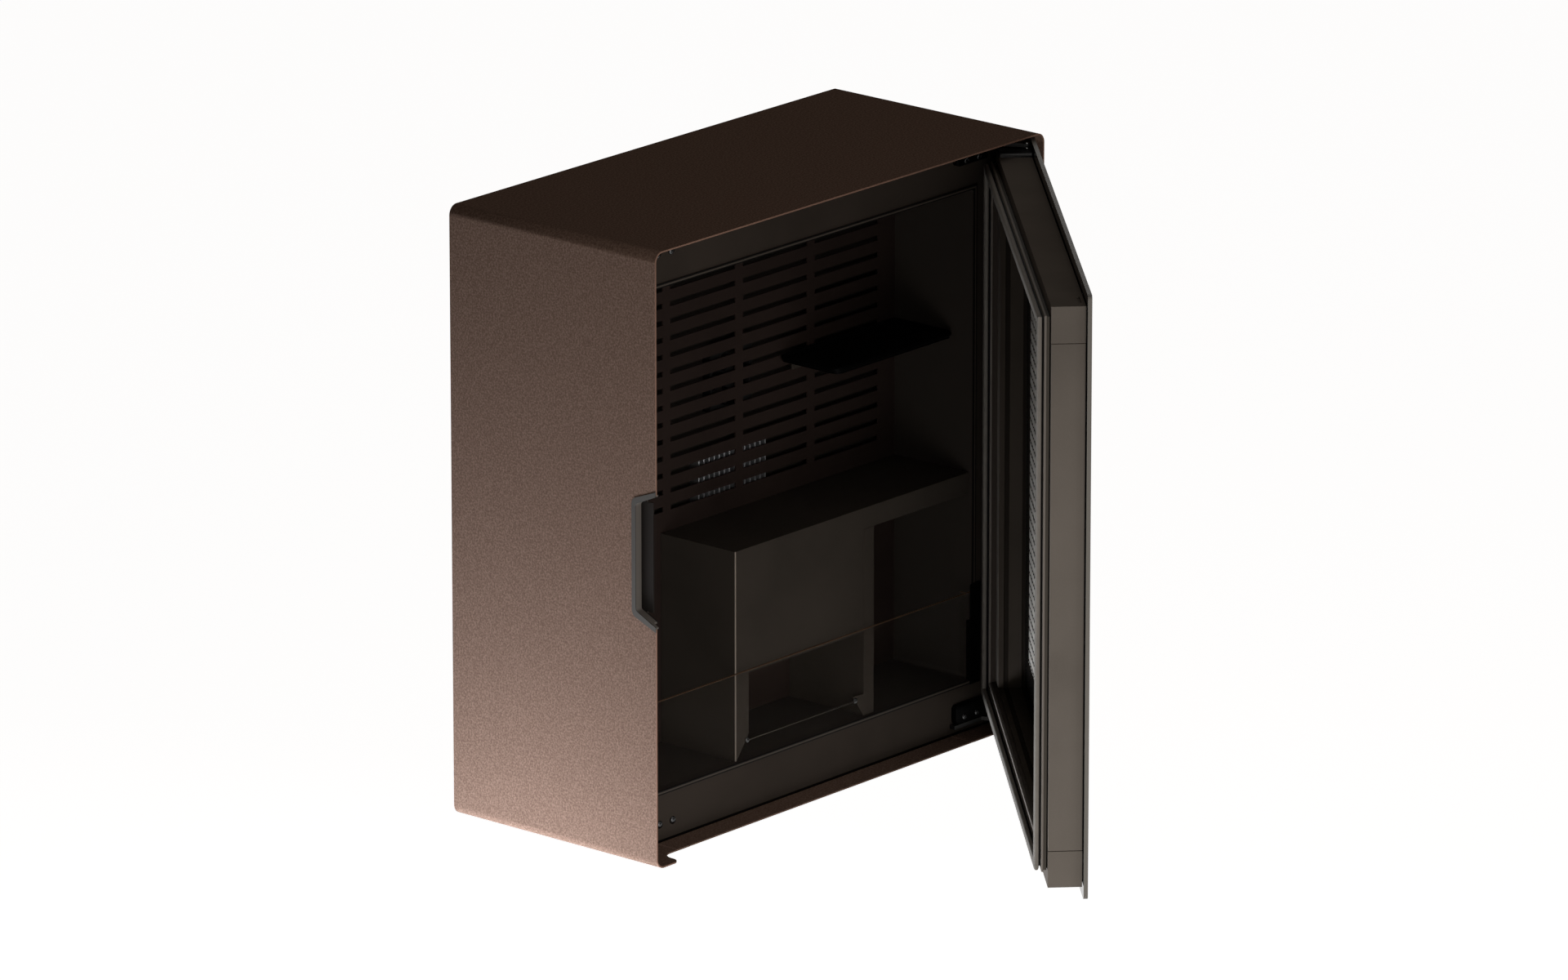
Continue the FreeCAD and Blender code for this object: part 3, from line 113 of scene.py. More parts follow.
class Paint:
    # a material that is being put together
    def __init__(self, name):
        self.material = bpy.data.materials.new(name)
        self.material.use_nodes = True
        self.tree = self.material.node_tree
        self.tree.nodes.clear()
        self.where = self.node("ShaderNodeTexCoord", {}, {}, "Object")

    def node(self, kind, settings, sockets, output=0):
        made = self.tree.nodes.new(kind)
        for name, value in settings.items():
            if name == "stops":
                self.fillRamp(made.color_ramp, value)
            else:
                setattr(made, name, value)
        for name, value in sockets.items():
            if isinstance(value, Wire):
                self.tree.links.new(value.socket, made.inputs[name])
            else:
                made.inputs[name].default_value = value
        return Wire(self, made.outputs[output]) if made.outputs else None

    def fillRamp(self, ramp, stops):
        while len(ramp.elements) < len(stops):
            ramp.elements.new(1.0)
        for element, (place, colour) in zip(ramp.elements, stops):
            element.position = place
            element.color = colour

    def stretched(self, x, y, z):
        return self.node("ShaderNodeMapping", {}, {"Vector": self.where, "Scale": (x, y, z)})

    def axes(self, vector=None):
        # the across, inward and upward numbers of a place
        return [self.node("ShaderNodeSeparateXYZ", {}, {"Vector": vector or self.where}, axis)
                for axis in "XYZ"]

    def noise(self, scale, detail=2.0, roughness=0.5, vector=None):
        return self.node("ShaderNodeTexNoise", {}, {
            "Vector": vector or self.where, "Scale": scale,
            "Detail": detail, "Roughness": roughness})

    def cells(self, scale, feature="F1", output="Distance"):
        return self.node("ShaderNodeTexVoronoi", {"feature": feature},
                         {"Vector": self.where, "Scale": scale}, output)

    def ramp(self, factor, *stops):
        return self.node("ShaderNodeValToRGB", {"stops": stops}, {"Fac": factor})

    def spread(self, factor, low, high):
        # a number between low and high as the factor goes from 0 to 1
        return self.node("ShaderNodeMapRange", {}, {"Value": factor, "To Min": low, "To Max": high})

    def mix(self, factor, first, second):
        # on a colour Mix node the factor is socket 0, the colours are 6 and 7, the result is 2
        return self.node("ShaderNodeMix", {"data_type": "RGBA", "blend_type": "MIX"},
                         {0: factor, 6: first, 7: second}, 2)

    def bump(self, height, distance):
        return self.node("ShaderNodeBump", {}, {
            "Height": height, "Distance": distance, "Strength": 1.0})

    def shader(self, **sockets):
        return self.node("ShaderNodeBsdfPrincipled", {}, {
            name.replace("_", " "): value for name, value in sockets.items()})

    def done(self, shader):
        self.node("ShaderNodeOutputMaterial", {}, {"Surface": shader})
        return self.material


def rgb(red, green, blue):
    # a linear colour from the 0 to 255 values that a screen shows
    return tuple(c / 12.92 if c <= 0.04045 else ((c + 0.055) / 1.055) ** 2.4
                 for c in (red / 255, green / 255, blue / 255)) + (1.0,)


def shade(colour, share):
    # a darker or lighter colour: each channel times the share, and none over 1
    return tuple(min(1.0, c * share) for c in colour[:3]) + (1.0,)


# Finishes

powderCoat = {
    "colour": rgb(105, 86, 75), "deep": rgb(92, 74, 64), "fleck": rgb(119, 99, 87),
    "grainPerMetre": 560, "dimplePerMetre": 620, "grainHeight": 0.00012,
    # edge: the colour of a painted highlight along the casing's front sheet edge
    "roughness": 0.62, "specular": 0.0, "edge": rgb(132, 104, 90), "edgeHighlightWidth": 0.6 * mm,
    # weld: the pale colour of painted highlight lines drawn along the two floor flange seams
    "weld": rgb(142, 116, 102), "seamHighlights": (-227.0 * mm, 205.0 * mm), "seamHighlightWidth": 0.45 * mm,
    "joint": rgb(14, 11, 9), "jointFrom": -215.6 * mm, "jointReach": (271.0 * mm, 298.8 * mm),
    "seamHighlightBelow": -290 * mm, "driftPerMetre": 7.0, "driftShare": 0.12,
    "grainShare": 0.7, "dimpleShare": 0.6, "duller": 0.1, "shinier": 0.12,
}


def powderCoatPaint(name, look):
    # a textured metallic coat: fine grain in three tones, over slow drifts in tone
    paint = Paint(name)
    grain = paint.noise(look["grainPerMetre"], 1.5, 0.5)
    dimple = paint.cells(look["dimplePerMetre"], "SMOOTH_F1")
    drift = paint.noise(look["driftPerMetre"], 3.0)
    tone = paint.ramp(grain, (0.34, look["deep"]), (0.5, look["colour"]), (0.68, look["fleck"]))
    colour = paint.mix(paint.spread(drift, 0.0, look["driftShare"]), tone, look["deep"])
    across, inward, up = paint.axes()
    # painted highlight: the front edge of the casing sheet is drawn paler, as where it catches the
    # light
    paintedHighlight = inward < float(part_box("outer_shell")[0][1]) + look["edgeHighlightWidth"]
    colour = paint.mix(paintedHighlight, colour, look["edge"])
    # painted highlights: pale lines on the floor flange seams, below the seam foot
    for weld in look["seamHighlights"]:
        line = (abs(across - weld) < look["seamHighlightWidth"]) * (up < look["seamHighlightBelow"])
        colour = paint.mix(line, colour, look["weld"])
    reach = look["jointReach"]
    joint = (inward > look["jointFrom"]) * (abs(across) < reach[0]) * (abs(up) < reach[1])
    colour = paint.mix(joint, colour, look["joint"])
    height = grain * look["grainShare"] + dimple * look["dimpleShare"]
    dull, shiny = look["roughness"] + look["duller"], look["roughness"] - look["shinier"]
    roughness = paint.spread(grain, dull, shiny)
    return paint.done(paint.shader(
        Base_Color=colour, Roughness=roughness, Specular_IOR_Level=look["specular"],
        Normal=paint.bump(height, look["grainHeight"])))


sheetLook = {"driftPerMetre": 9.0, "rubPerMetre": 38.0, "darker": 0.8, "lighter": 1.14,
             "peelShare": 0.14, "shinier": 0.09, "duller": 0.1}


def paintedSheet(name, colour, roughness=0.55, specular=0.01, grain=1500.0, height=0.00003,
                 lines=None):
    # fine matt paint: an orange-peel bump, a little drift in tone and sheen, and rubbed patches
    paint = Paint(name)
    peel = paint.noise(grain, 2.0)
    drift = paint.noise(sheetLook["driftPerMetre"], 3.0)
    rub = paint.noise(sheetLook["rubPerMetre"], 5.0, 0.7)
    darker, lighter = shade(colour, sheetLook["darker"]), shade(colour, sheetLook["lighter"])
    tone = paint.ramp(drift, (0.25, darker), (0.5, colour), (0.8, lighter))
    fine = paint.mix(sheetLook["peelShare"], tone,
                     paint.ramp(peel, (0.3, darker), (0.7, lighter)))
    if lines:
        fine = lines(paint, fine)
    sheen = paint.spread(rub, roughness - sheetLook["shinier"], roughness + sheetLook["duller"])
    return paint.done(paint.shader(
        Base_Color=fine, Roughness=sheen, Specular_IOR_Level=specular,
        Normal=paint.bump(peel, height)))


plasticLook = {"flowPerMetre": 14.0, "flowStretch": (1.0, 1.0, 0.3), "flowShare": 0.5,
               "darker": 0.82, "shinier": 0.06, "duller": 0.08}


def mouldedPlastic(name, colour, roughness=0.5, specular=0.05, grain=2200.0, height=0.00003,
                   lines=None):
    # moulded plastic: a fine spark-eroded grain and faint flow marks
    paint = Paint(name)
    pits = paint.cells(grain)
    upright = paint.stretched(*plasticLook["flowStretch"])
    flow = paint.noise(plasticLook["flowPerMetre"], 4.0, 0.6, upright)
    darker = shade(colour, plasticLook["darker"])
    tone = paint.mix(paint.spread(flow, 0.0, plasticLook["flowShare"]), colour, darker)
    if lines:
        tone = lines(paint, tone)
    sheen = paint.spread(flow, roughness - plasticLook["shinier"],
                         roughness + plasticLook["duller"])
    return paint.done(paint.shader(
        Base_Color=tone, Roughness=sheen, Specular_IOR_Level=specular,
        Normal=paint.bump(pits, height)))


rubberLook = {"bloomPerMetre": 60.0, "grainPerMetre": 1800.0, "grainHeight": 0.00003,
              "paler": 1.25, "roughness": (0.6, 0.78), "specular": 0.04}


def softRubber(name, colour, lines=None):
    # rubber with a fine skin and a pale bloom in patches
    paint = Paint(name)
    bloom = paint.noise(rubberLook["bloomPerMetre"], 5.0, 0.65)
    skin = paint.noise(rubberLook["grainPerMetre"], 2.0)
    tone = paint.ramp(bloom, (0.3, colour), (0.8, shade(colour, rubberLook["paler"])))
    if lines:
        tone = lines(paint, tone)
    return paint.done(paint.shader(
        Base_Color=tone, Roughness=paint.spread(bloom, *rubberLook["roughness"]),
        Specular_IOR_Level=rubberLook["specular"],
        Normal=paint.bump(skin, rubberLook["grainHeight"])))


plateLook = {"linesPerMetre": 220.0, "lineStretch": (1.0, 1.0, 14.0), "lineHeight": 0.00002,
             "crystalsPerMetre": 90.0, "darker": 0.72, "metallic": 0.9,
             "shinier": 0.08, "duller": 0.14}


def platedSteel(name, colour, roughness=0.32, spangle=0.0):
    # plated or bare metal: fine drawing lines, and crystal spangles where the sheet is galvanised
    paint = Paint(name)
    lines = paint.noise(plateLook["linesPerMetre"], 3.0, 0.6,
                        paint.stretched(*plateLook["lineStretch"]))
    darker = shade(colour, plateLook["darker"])
    crystals = paint.cells(plateLook["crystalsPerMetre"], "F1", "Color")
    crystal = paint.ramp(crystals, (0.2, darker), (0.8, colour))
    drawn = paint.ramp(lines, (0.3, darker), (0.7, colour))
    tone = paint.mix(spangle, drawn, crystal)
    sheen = paint.spread(lines, roughness - plateLook["shinier"], roughness + plateLook["duller"])
    return paint.done(paint.shader(
        Base_Color=tone, Metallic=plateLook["metallic"], Roughness=sheen,
        Normal=paint.bump(lines, plateLook["lineHeight"])))


guardLook = {
    "clear": rgb(70, 62, 54), "haze": 0.025, "edge": rgb(92, 72, 56), "edgeHeight": 0.45 * mm,
    "dustPerMetre": 25.0, "roughness": (0.04, 0.1), "specular": 0.1,
}


def guardPaint(name, look):
    # clear acrylic, nearly unseen, with a trace of dust and a warm polished top edge
    paint = Paint(name)
    dust = paint.noise(look["dustPerMetre"], 6.0, 0.7)
    top = paint.axes()[2] > float(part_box("guard_pane")[1][2]) - look["edgeHeight"]
    seen = top.calc("MAXIMUM", top, paint.spread(dust, look["haze"] * 0.5, look["haze"] * 1.5))
    return paint.done(paint.shader(
        Base_Color=paint.mix(top, look["clear"], look["edge"]),
        Roughness=paint.spread(dust, *look["roughness"]),
        Specular_IOR_Level=look["specular"], Alpha=seen))


def doorPlace(paint):
    # the place on the shut door, in metres: across, inward and up
    angle = -doorTurn
    centre = Matrix.Rotation(angle, 3, "Z") @ Vector(pinPlace)
    shut = paint.node("ShaderNodeMapping", {}, {
        "Vector": paint.where, "Rotation": (0.0, 0.0, angle),
        "Location": Vector(pinPlace) - centre})
    return paint.axes(shut)


def outsideOf(paint, across, up, low, high, inset):
    # 1 outside a rectangle that lies an inset inside the low and high corners
    middle, half = (low + high) / 2, (high - low) / 2 - inset
    beside = abs(across - middle[0]) > half[0]
    above = abs(up - middle[2]) > half[2]
    return beside.calc("MAXIMUM", beside, above)


glazing = {
    "smoke": (0.16, 0.165, 0.16, 1.0), "rim": 0.9 * mm, "edge": rgb(112, 109, 103),
    "border": rgb(10, 10, 10), "window": 53 * mm, "printBorder": 43 * mm,
    "pitch": 11.03 * mm, "dot": 5.0 * mm, "dots": rgb(235, 230, 218), "ground": rgb(12, 12, 12),
}


def doorGlassPaint(name, look):
    # smoked glass with a black printed border on its back and a pale ground edge
    paint = Paint(name)
    low, high = shutBox("door_glass")
    across, up = doorPlace(paint)[::2]
    dust = paint.noise(25.0, 6.0, 0.7)
    smear = paint.spread(dust, 0.02, 0.06)
    pane = paint.shader(Base_Color=look["smoke"], Transmission_Weight=1.0, IOR=1.45,
                        Roughness=smear)
    border = paint.shader(Base_Color=look["border"], Roughness=smear, Specular_IOR_Level=0.5)
    grit = paint.noise(2500.0, 2.0)
    rim = paint.shader(Base_Color=look["edge"], Roughness=paint.spread(grit, 0.35, 0.55),
                       Specular_IOR_Level=0.05)
    bordered = paint.node("ShaderNodeMixShader", {}, {
        0: outsideOf(paint, across, up, low, high, look["window"]), 1: pane, 2: border})
    return paint.done(paint.node("ShaderNodeMixShader", {}, {
        0: outsideOf(paint, across, up, low, high, look["rim"]), 1: bordered, 2: rim}))


def innerPanePaint(name, look):
    # a black print with a square grid of pale dots, inside a plain border
    paint = Paint(name)
    low, high = shutBox("inner_pane")
    across, up = doorPlace(paint)[::2]
    middle = (low + high) / 2
    columns = (across - middle[0]) * (1 / look["pitch"]) + 0.5
    rows = (up - middle[2]) * (1 / look["pitch"]) + 0.5
    columns = columns.calc("FRACT", columns, 0.0) - 0.5
    rows = rows.calc("FRACT", rows, 0.0) - 0.5
    spread = columns * columns + rows * rows
    radius = look["dot"] / look["pitch"]
    dot = spread < radius * radius
    inside = 1.0 - outsideOf(paint, across, up, low, high, look["printBorder"])
    wear = paint.noise(30.0, 5.0, 0.7)
    dots = paint.mix(paint.spread(wear, 0.0, 0.12), look["dots"], look["ground"])
    tone = paint.mix(dot * inside, look["ground"], dots)
    return paint.done(paint.shader(
        Base_Color=tone, Roughness=paint.spread(wear, 0.12, 0.24), Specular_IOR_Level=0.3))


foamLook = {"bubblesPerMetre": 700.0, "bubbleHeight": 0.0004, "patchesPerMetre": 18.0,
            "patchShare": 0.6, "darker": 0.7, "roughness": 0.9, "specular": 0.1}


def blownFoam(name, colour):
    # blown foam: round bubbles, and patches of a darker tone
    paint = Paint(name)
    bubbles = paint.cells(foamLook["bubblesPerMetre"], "SMOOTH_F1")
    patch = paint.noise(foamLook["patchesPerMetre"], 3.0)
    dark = shade(colour, foamLook["darker"])
    tone = paint.mix(paint.spread(patch, 0.0, foamLook["patchShare"]), colour, dark)
    return paint.done(paint.shader(
        Base_Color=tone, Roughness=foamLook["roughness"],
        Specular_IOR_Level=foamLook["specular"],
        Normal=paint.bump(bubbles, foamLook["bubbleHeight"])))


boardLook = {"mask": (rgb(18, 92, 52), rgb(14, 78, 44)), "run": rgb(40, 120, 70),
             "runsPerMetre": 120.0, "runWidth": 0.03, "roughness": 0.35}


def boardPaint(name, look):
    # a circuit board: copper runs under green mask
    paint = Paint(name)
    upright = paint.node("ShaderNodeMapping", {}, {
        "Vector": paint.where, "Rotation": (math.pi / 2, 0.0, 0.0)})
    runs = paint.node("ShaderNodeTexBrick", {}, {
        "Vector": upright, "Color1": look["mask"][0], "Color2": look["mask"][1],
        "Mortar": look["run"], "Scale": look["runsPerMetre"], "Mortar Size": look["runWidth"]})
    return paint.done(paint.shader(Base_Color=runs, Roughness=look["roughness"]))


bead = {
    "low": np.array((-237.0, 0.0, -248.0)) * mm, "high": np.array((237.0, 0.0, 244.0)) * mm,
    "front": -213.7 * mm, "joint": 1.1 * mm, "line": 2.7 * mm,
    "highlightTone": rgb(68, 62, 56), "dark": rgb(14, 12, 11),
}


def beadLines(paint, tone):
    # the front of the bead round the opening: one pale line, a painted highlight where the bead's
    # edge catches the light, with dark joint lines on both sides of it
    across, inward, up = paint.axes()
    near = outsideOf(paint, across, up, bead["low"], bead["high"], -bead["joint"])
    far = outsideOf(paint, across, up, bead["low"], bead["high"], -bead["line"])
    front = paint.mix(near - far, bead["dark"], bead["highlightTone"])
    return paint.mix(inward < bead["front"], tone, front)


foldHighlight = {"across": -107.5 * mm, "inward": -210.0 * mm, "width": 1.0 * mm,
            "colour": rgb(138, 128, 118)}


def foldHighlights(paint, tone):
    # painted highlight: a pale line down the upright fold, where its rounded edge would catch the
    # light
    across, inward = paint.axes()[:2]
    beside = abs(across - foldHighlight["across"]) < foldHighlight["width"]
    paintedHighlight = beside * (abs(inward - foldHighlight["inward"]) < foldHighlight["width"])
    return paint.mix(paintedHighlight, tone, foldHighlight["colour"])


gripLook = {"lip": -282.2 * mm, "grey": rgb(74, 72, 69),
            "bottom": -274.6 * mm, "shade": rgb(30, 27, 25)}


def gripLines(paint, tone):
    # a greyer lip, and painted shade that darkens the bottom of the recess
    across = paint.axes()[0]
    tone = paint.mix(across < gripLook["lip"], tone, gripLook["grey"])
    return paint.mix(across > gripLook["bottom"], tone, gripLook["shade"])


capJoints = {"heights": (-242.6 * mm, 246.6 * mm), "width": 0.35 * mm, "colour": rgb(48, 43, 38)}


def capLines(paint, tone):
    # the joints where the end caps of the door's long profiles begin
    up = paint.axes()[2]
    for height in capJoints["heights"]:
        tone = paint.mix(abs(up - height) < capJoints["width"], tone, capJoints["colour"])
    return tone


frameJoint = {
    "low": np.array((-281.0, 0.0, -298.5)) * mm, "high": np.array((281.0, 0.0, 298.5)) * mm,
    "width": 1.8 * mm, "colour": rgb(9, 8, 7),
}


def frameLines(paint, tone):
    # the dark joint where the frame meets the casing
    across, up = paint.axes()[::2]
    joint = outsideOf(paint, across, up, frameJoint["low"], frameJoint["high"], frameJoint["width"])
    return paint.mix(joint, tone, frameJoint["colour"])


sealShade = {"root": -219.5 * mm, "dark": rgb(12, 11, 10)}


def sealLines(paint, tone):
    # the root of the seal, where no light comes
    return paint.mix(doorPlace(paint)[1] < sealShade["root"], tone, sealShade["dark"])


trimShade = {"gap": -226.0 * mm, "foot": -223.3 * mm, "footTone": rgb(72, 68, 62),
             "inside": 18.9 * mm, "insideTone": rgb(56, 50, 45), "dark": rgb(12, 11, 10)}


def trimLines(paint, tone):
    # painted shade: darker on the recessed foot of the inner frame, in the gap under it and on its
    # side at the window
    low, high = shutBox("door_inner_frame")
    across, inward, up = doorPlace(paint)
    tone = paint.mix(inward < trimShade["foot"], tone, trimShade["footTone"])
    tone = paint.mix(inward < trimShade["gap"], tone, trimShade["dark"])
    window = 1.0 - outsideOf(paint, across, up, low, high, trimShade["inside"])
    return paint.mix(window, tone, trimShade["insideTone"])


revealShade = {"steps": ((-237.0, -232.4), (-253.0, -250.0)), "dark": rgb(34, 30, 26)}


def revealLines(paint, tone):
    # painted shade in the two recessed steps of the lining
    inward = doorPlace(paint)[1]
    for back, front in revealShade["steps"]:
        tone = paint.mix((inward > back * mm) * (inward < front * mm), tone, revealShade["dark"])
    return tone


finishes = {
    "casing": powderCoatPaint("casing powder coat", powderCoat),
    "frame": paintedSheet("frame paint", rgb(55, 49, 44), lines=frameLines),
    "louvre": paintedSheet("louvre paint", rgb(43, 35, 32), 0.5),
    "shelf": paintedSheet("shelf paint", rgb(55, 50, 45), 0.45, lines=foldHighlights),
    "liner": mouldedPlastic("liner plastic", rgb(52, 47, 43), 0.55, lines=beadLines),
    "grip": mouldedPlastic("grip plastic", rgb(97, 92, 87), 0.42, lines=gripLines),
    "dark": mouldedPlastic("dark plastic", rgb(26, 26, 26), 0.45),
    "black": mouldedPlastic("black cover plastic", rgb(5, 5, 5), 0.42, 0.02),
    "white": mouldedPlastic("white plastic", rgb(226, 226, 222), 0.4),
    "profile": paintedSheet("door profile", rgb(104, 98, 91), 0.5, 0.0, 900.0, 0.00001, capLines),
    "reveal": paintedSheet("reveal lining", rgb(58, 52, 46), 0.5, 0.0, lines=revealLines),
    "trim": mouldedPlastic("door trim plastic", rgb(112, 106, 99), 0.45, 0.01, lines=trimLines),
    "gasket": softRubber("seal rubber", rgb(108, 104, 98), sealLines),
    "buffer": softRubber("buffer rubber", rgb(30, 30, 30)),
    "guard": guardPaint("guard acrylic", guardLook),
    "glass": doorGlassPaint("door glass", glazing),
    "print": innerPanePaint("dotted pane print", glazing),
    "plug": mouldedPlastic("black plug", rgb(9, 9, 9), 0.2, 0.5),
    "rod": platedSteel("thin rod", rgb(72, 66, 60), 0.5),
    "zinc": platedSteel("zinc plate", rgb(176, 176, 172)),
    "galvanised": platedSteel("galvanised sheet", rgb(168, 170, 170), 0.4, 0.45),
    "blackSteel": platedSteel("blackened steel", rgb(46, 45, 44), 0.42),
    "aluminium": platedSteel("aluminium", rgb(196, 198, 200), 0.3),
    "foam": blownFoam("insulation foam", rgb(222, 206, 160)),
    "board": boardPaint("circuit board", boardLook),
}
print("finishes ready:", len(finishes))

# finish and edge rounding, in millimetres, of each carried-over node
dressing = {
    "outer_shell": ("casing", 0.45), "grip_trim": ("grip", 0.7), "bottom_panel": ("casing", 0.3),
    "back_panel": ("galvanised", 0.3), "wall_plate": ("galvanised", 0.5),
    "wall_buffers": ("buffer", 1.0), "face_frame": ("frame", 0.4), "inner_liner": ("liner", 0.6),
    "insulation_foam": ("foam", 0.0), "louvre_panel": ("louvre", 0.35),
    "cold_block": ("aluminium", 0.4), "peltier_module": ("white", 0.2),
    "cold_sink": ("aluminium", 0.2), "hot_sink": ("aluminium", 0.2),
    "hot_fan_frame": ("dark", 0.6), "hot_fan_rotor": ("dark", 0.0), "cold_fan_frame": ("dark", 0.5),
    "cold_fan_rotor": ("dark", 0.0), "power_supply": ("galvanised", 0.8),
    "control_board": ("board", 0.2), "board_standoffs": ("white", 0.3),
    "power_inlet": ("dark", 0.5),
    "lamp_housing": ("white", 0.5), "lamp_lens": ("white", 0.5), "main_shelf": ("shelf", 0.5),
    "cubby_wall": ("shelf", 0.45), "cubby_rod": ("rod", 0.2), "upper_shelf": ("black", 1.2),
    "upper_shelf_angle": ("shelf", 0.5), "shelf_pegs": ("dark", 0.6), "guard_pane": ("guard", 0.5),
    "guard_channel_left": ("black", 0.6), "guard_channel_right": ("black", 0.6),
    "lower_hinge_arm": ("blackSteel", 0.5), "upper_hinge_arm": ("blackSteel", 0.5),
    "lower_hinge_block": ("black", 2.0), "upper_hinge_block": ("black", 2.0),
    "lower_pivot_block": ("blackSteel", 0.5), "upper_pivot_block": ("blackSteel", 0.5),
    "lower_pivot_pin": ("zinc", 0.4), "upper_pivot_pin": ("zinc", 0.4), "pivot_bush": ("dark", 0.4),
    "door_glass": ("glass", 1.0), "glass_tape": ("buffer", 0.1), "inner_pane": ("print", 0.3),
    "door_top_rail": ("profile", 0.6), "door_bottom_rail": ("profile", 0.6),
    "door_hinge_stile": ("profile", 0.6), "door_free_stile": ("profile", 0.6),
    "magnet_strips": ("dark", 0.2),
}


edges = {"join": 0.001 * mm, "double": 1e-7, "sharp": math.radians(35),
         "wide": 1.5, "wideSteps": 4, "steps": 2}


def roundEdges(piece, width):
    # joins the loose triangles and rounds the sharp edges by a width in millimetres
    weld = piece.modifiers.new("join", "WELD")
    weld.merge_threshold = edges["join"]
    bevel = piece.modifiers.new("edges", "BEVEL")
    bevel.width = width * mm
    bevel.segments = edges["wideSteps"] if width > edges["wide"] else edges["steps"]
    bevel.limit_method = "ANGLE"
    bevel.angle_limit = edges["sharp"]
    bevel.harden_normals = True


for node, (finish, width) in dressing.items():
    piece = nodes[node]
    piece.data.materials.clear()
    piece.data.materials.append(finishes[finish])
    if width:
        roundEdges(piece, width)
print("nodes dressed:", len(dressing))

# New surfaces

def gridFaces(rows, columns, ringed):
    # quads between neighbours on a grid of points that closes on itself across, and also down
    # if ringed
    row, column = np.meshgrid(np.arange(rows - (not ringed)), np.arange(columns), indexing="ij")
    below, beside = (row + 1) % rows, (column + 1) % columns
    corners = (row * columns + column, below * columns + column,
               below * columns + beside, row * columns + beside)
    return np.stack(corners, -1).reshape(-1, 4)


def putPiece(name, points, faces, finish, body, replaced=()):
    # points and faces as a closed piece whose faces point outwards
    mesh = bpy.data.meshes.new(name)
    corners = np.asarray(points).reshape(-1, 3).tolist()
    mesh.from_pydata(corners, [], [list(face) for face in faces])
    work = bmesh.new()
    work.from_mesh(mesh)
    bmesh.ops.remove_doubles(work, verts=work.verts, dist=edges["double"])
    bmesh.ops.recalc_face_normals(work, faces=work.faces)
    work.to_mesh(mesh)
    work.free()
    mesh.shade_smooth()
    mesh.set_sharp_from_angle(angle=edges["sharp"])
    mesh.materials.append(finishes[finish])
    piece = bpy.data.objects.new(name, mesh)
    bpy.context.scene.collection.objects.link(piece)
    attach(piece, body)
    if replaced:
        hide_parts(*replaced)


def mitredRing(profile, low, high):
    # a closed profile of (inward offset, depth) carried round a rectangle: at each corner the
    # point moves inward along both sides by its offset, so the corners meet in a mitre
    corners = np.array([(low[0], low[2], 1, 1), (high[0], low[2], -1, 1),
                        (high[0], high[2], -1, -1), (low[0], high[2], 1, -1)])
    offset, depth = np.asarray(profile, float).T
    x = corners[:, :1] + corners[:, 2:3] * offset
    z = corners[:, 1:2] + corners[:, 3:4] * offset
    points = np.stack([x, np.broadcast_to(depth, x.shape), z], -1)
    return points, gridFaces(4, len(profile), True)


seal = {"steps": 22, "squareness": 2.6}


def sealProfile(width, root, lobe, face, neck):
    # a lobe on a narrow root: half its width is the neck's, then
    # width / 2 * (1 - |2 s - 1| ^ n) ^ (1 / n) as s goes from the lobe's root to its face
    step = np.linspace(0.0, 1.0, seal["steps"])
    power = seal["squareness"]
    half = width / 2 * (1 - np.abs(2 * step - 1) ** power) ** (1 / power)
    half[:-1] = np.maximum(half[:-1], neck)
    depth = lobe + (face - lobe) * step
    half, depth = np.append(neck, half), np.append(root, depth)
    outer = np.stack([width / 2 - half, depth], -1)
    inner = np.stack([width / 2 + half, depth], -1)[::-1]
    return np.concatenate([outer, inner])


low, high = shutBox("door_gasket")
section = sealProfile(9 * mm, low[1], low[1] + 1.5 * mm, high[1], 1.2 * mm)
points, faces = mitredRing(section, low, high)
putPiece("door_seal", turned(points, doorTurn), faces, "gasket", "door",
         ["door_gasket"])


def innerFrameProfile(root, plate, face):
    # the section of the door's inner frame: a neck, a recessed foot under a rounded outer nose,
    # the seal's bed, one fine groove and a thin raised lip at the window
    points = [
        (3.0, root), (3.0, plate), (1.5, plate), (1.5, plate + 2.6), (0.4, plate + 2.8),
        (0.0, plate + 3.1), (0.0, face - 1.0), (0.25, face - 0.5), (0.8, face - 0.2),
        (1.6, face), (12.3, face), (12.6, face - 0.8), (13.5, face - 0.8), (13.8, face - 0.3),
        (17.0, face - 0.3), (17.6, face), (18.4, face), (18.8, face - 0.9),
        (20.0, face - 2.0), (20.0, root),
    ]
    return np.array(points) * mm


low, high = shutBox("door_inner_frame")
section = innerFrameProfile(low[1] / mm, low[1] / mm + 1.1, high[1] / mm)
points, faces = mitredRing(section, low, high)
putPiece("inner_frame_profile", turned(points, doorTurn), faces, "trim", "door",
         ["door_inner_frame"])


def revealProfile(front, back):
    # a thin stepped lining from the body's inner face down to the pane
    points = [
        (-0.2, front), (0.7, front), (1.2, front + 0.5), (1.2, front + 5.0), (0.3, front + 5.4),
        (0.3, front + 9.6), (1.0, front + 10.0), (1.0, front + 22.4), (0.3, front + 22.8),
        (0.3, back), (-0.2, back),
    ]
    return np.array([(offset, front - (depth - front)) for offset, depth in points]) * mm


reveal = {"low": (-225.0, -227.2, -242.6), "high": (225.0, -227.2, 246.6), "back": 25.7}
section = revealProfile(reveal["low"][1], reveal["low"][1] + reveal["back"])
points, faces = mitredRing(section, np.array(reveal["low"]) * mm, np.array(reveal["high"]) * mm)
putPiece("reveal_lining", turned(points, doorTurn), faces, "reveal", "door")
print("door seal and inner frame made")


cornerSteps = 8


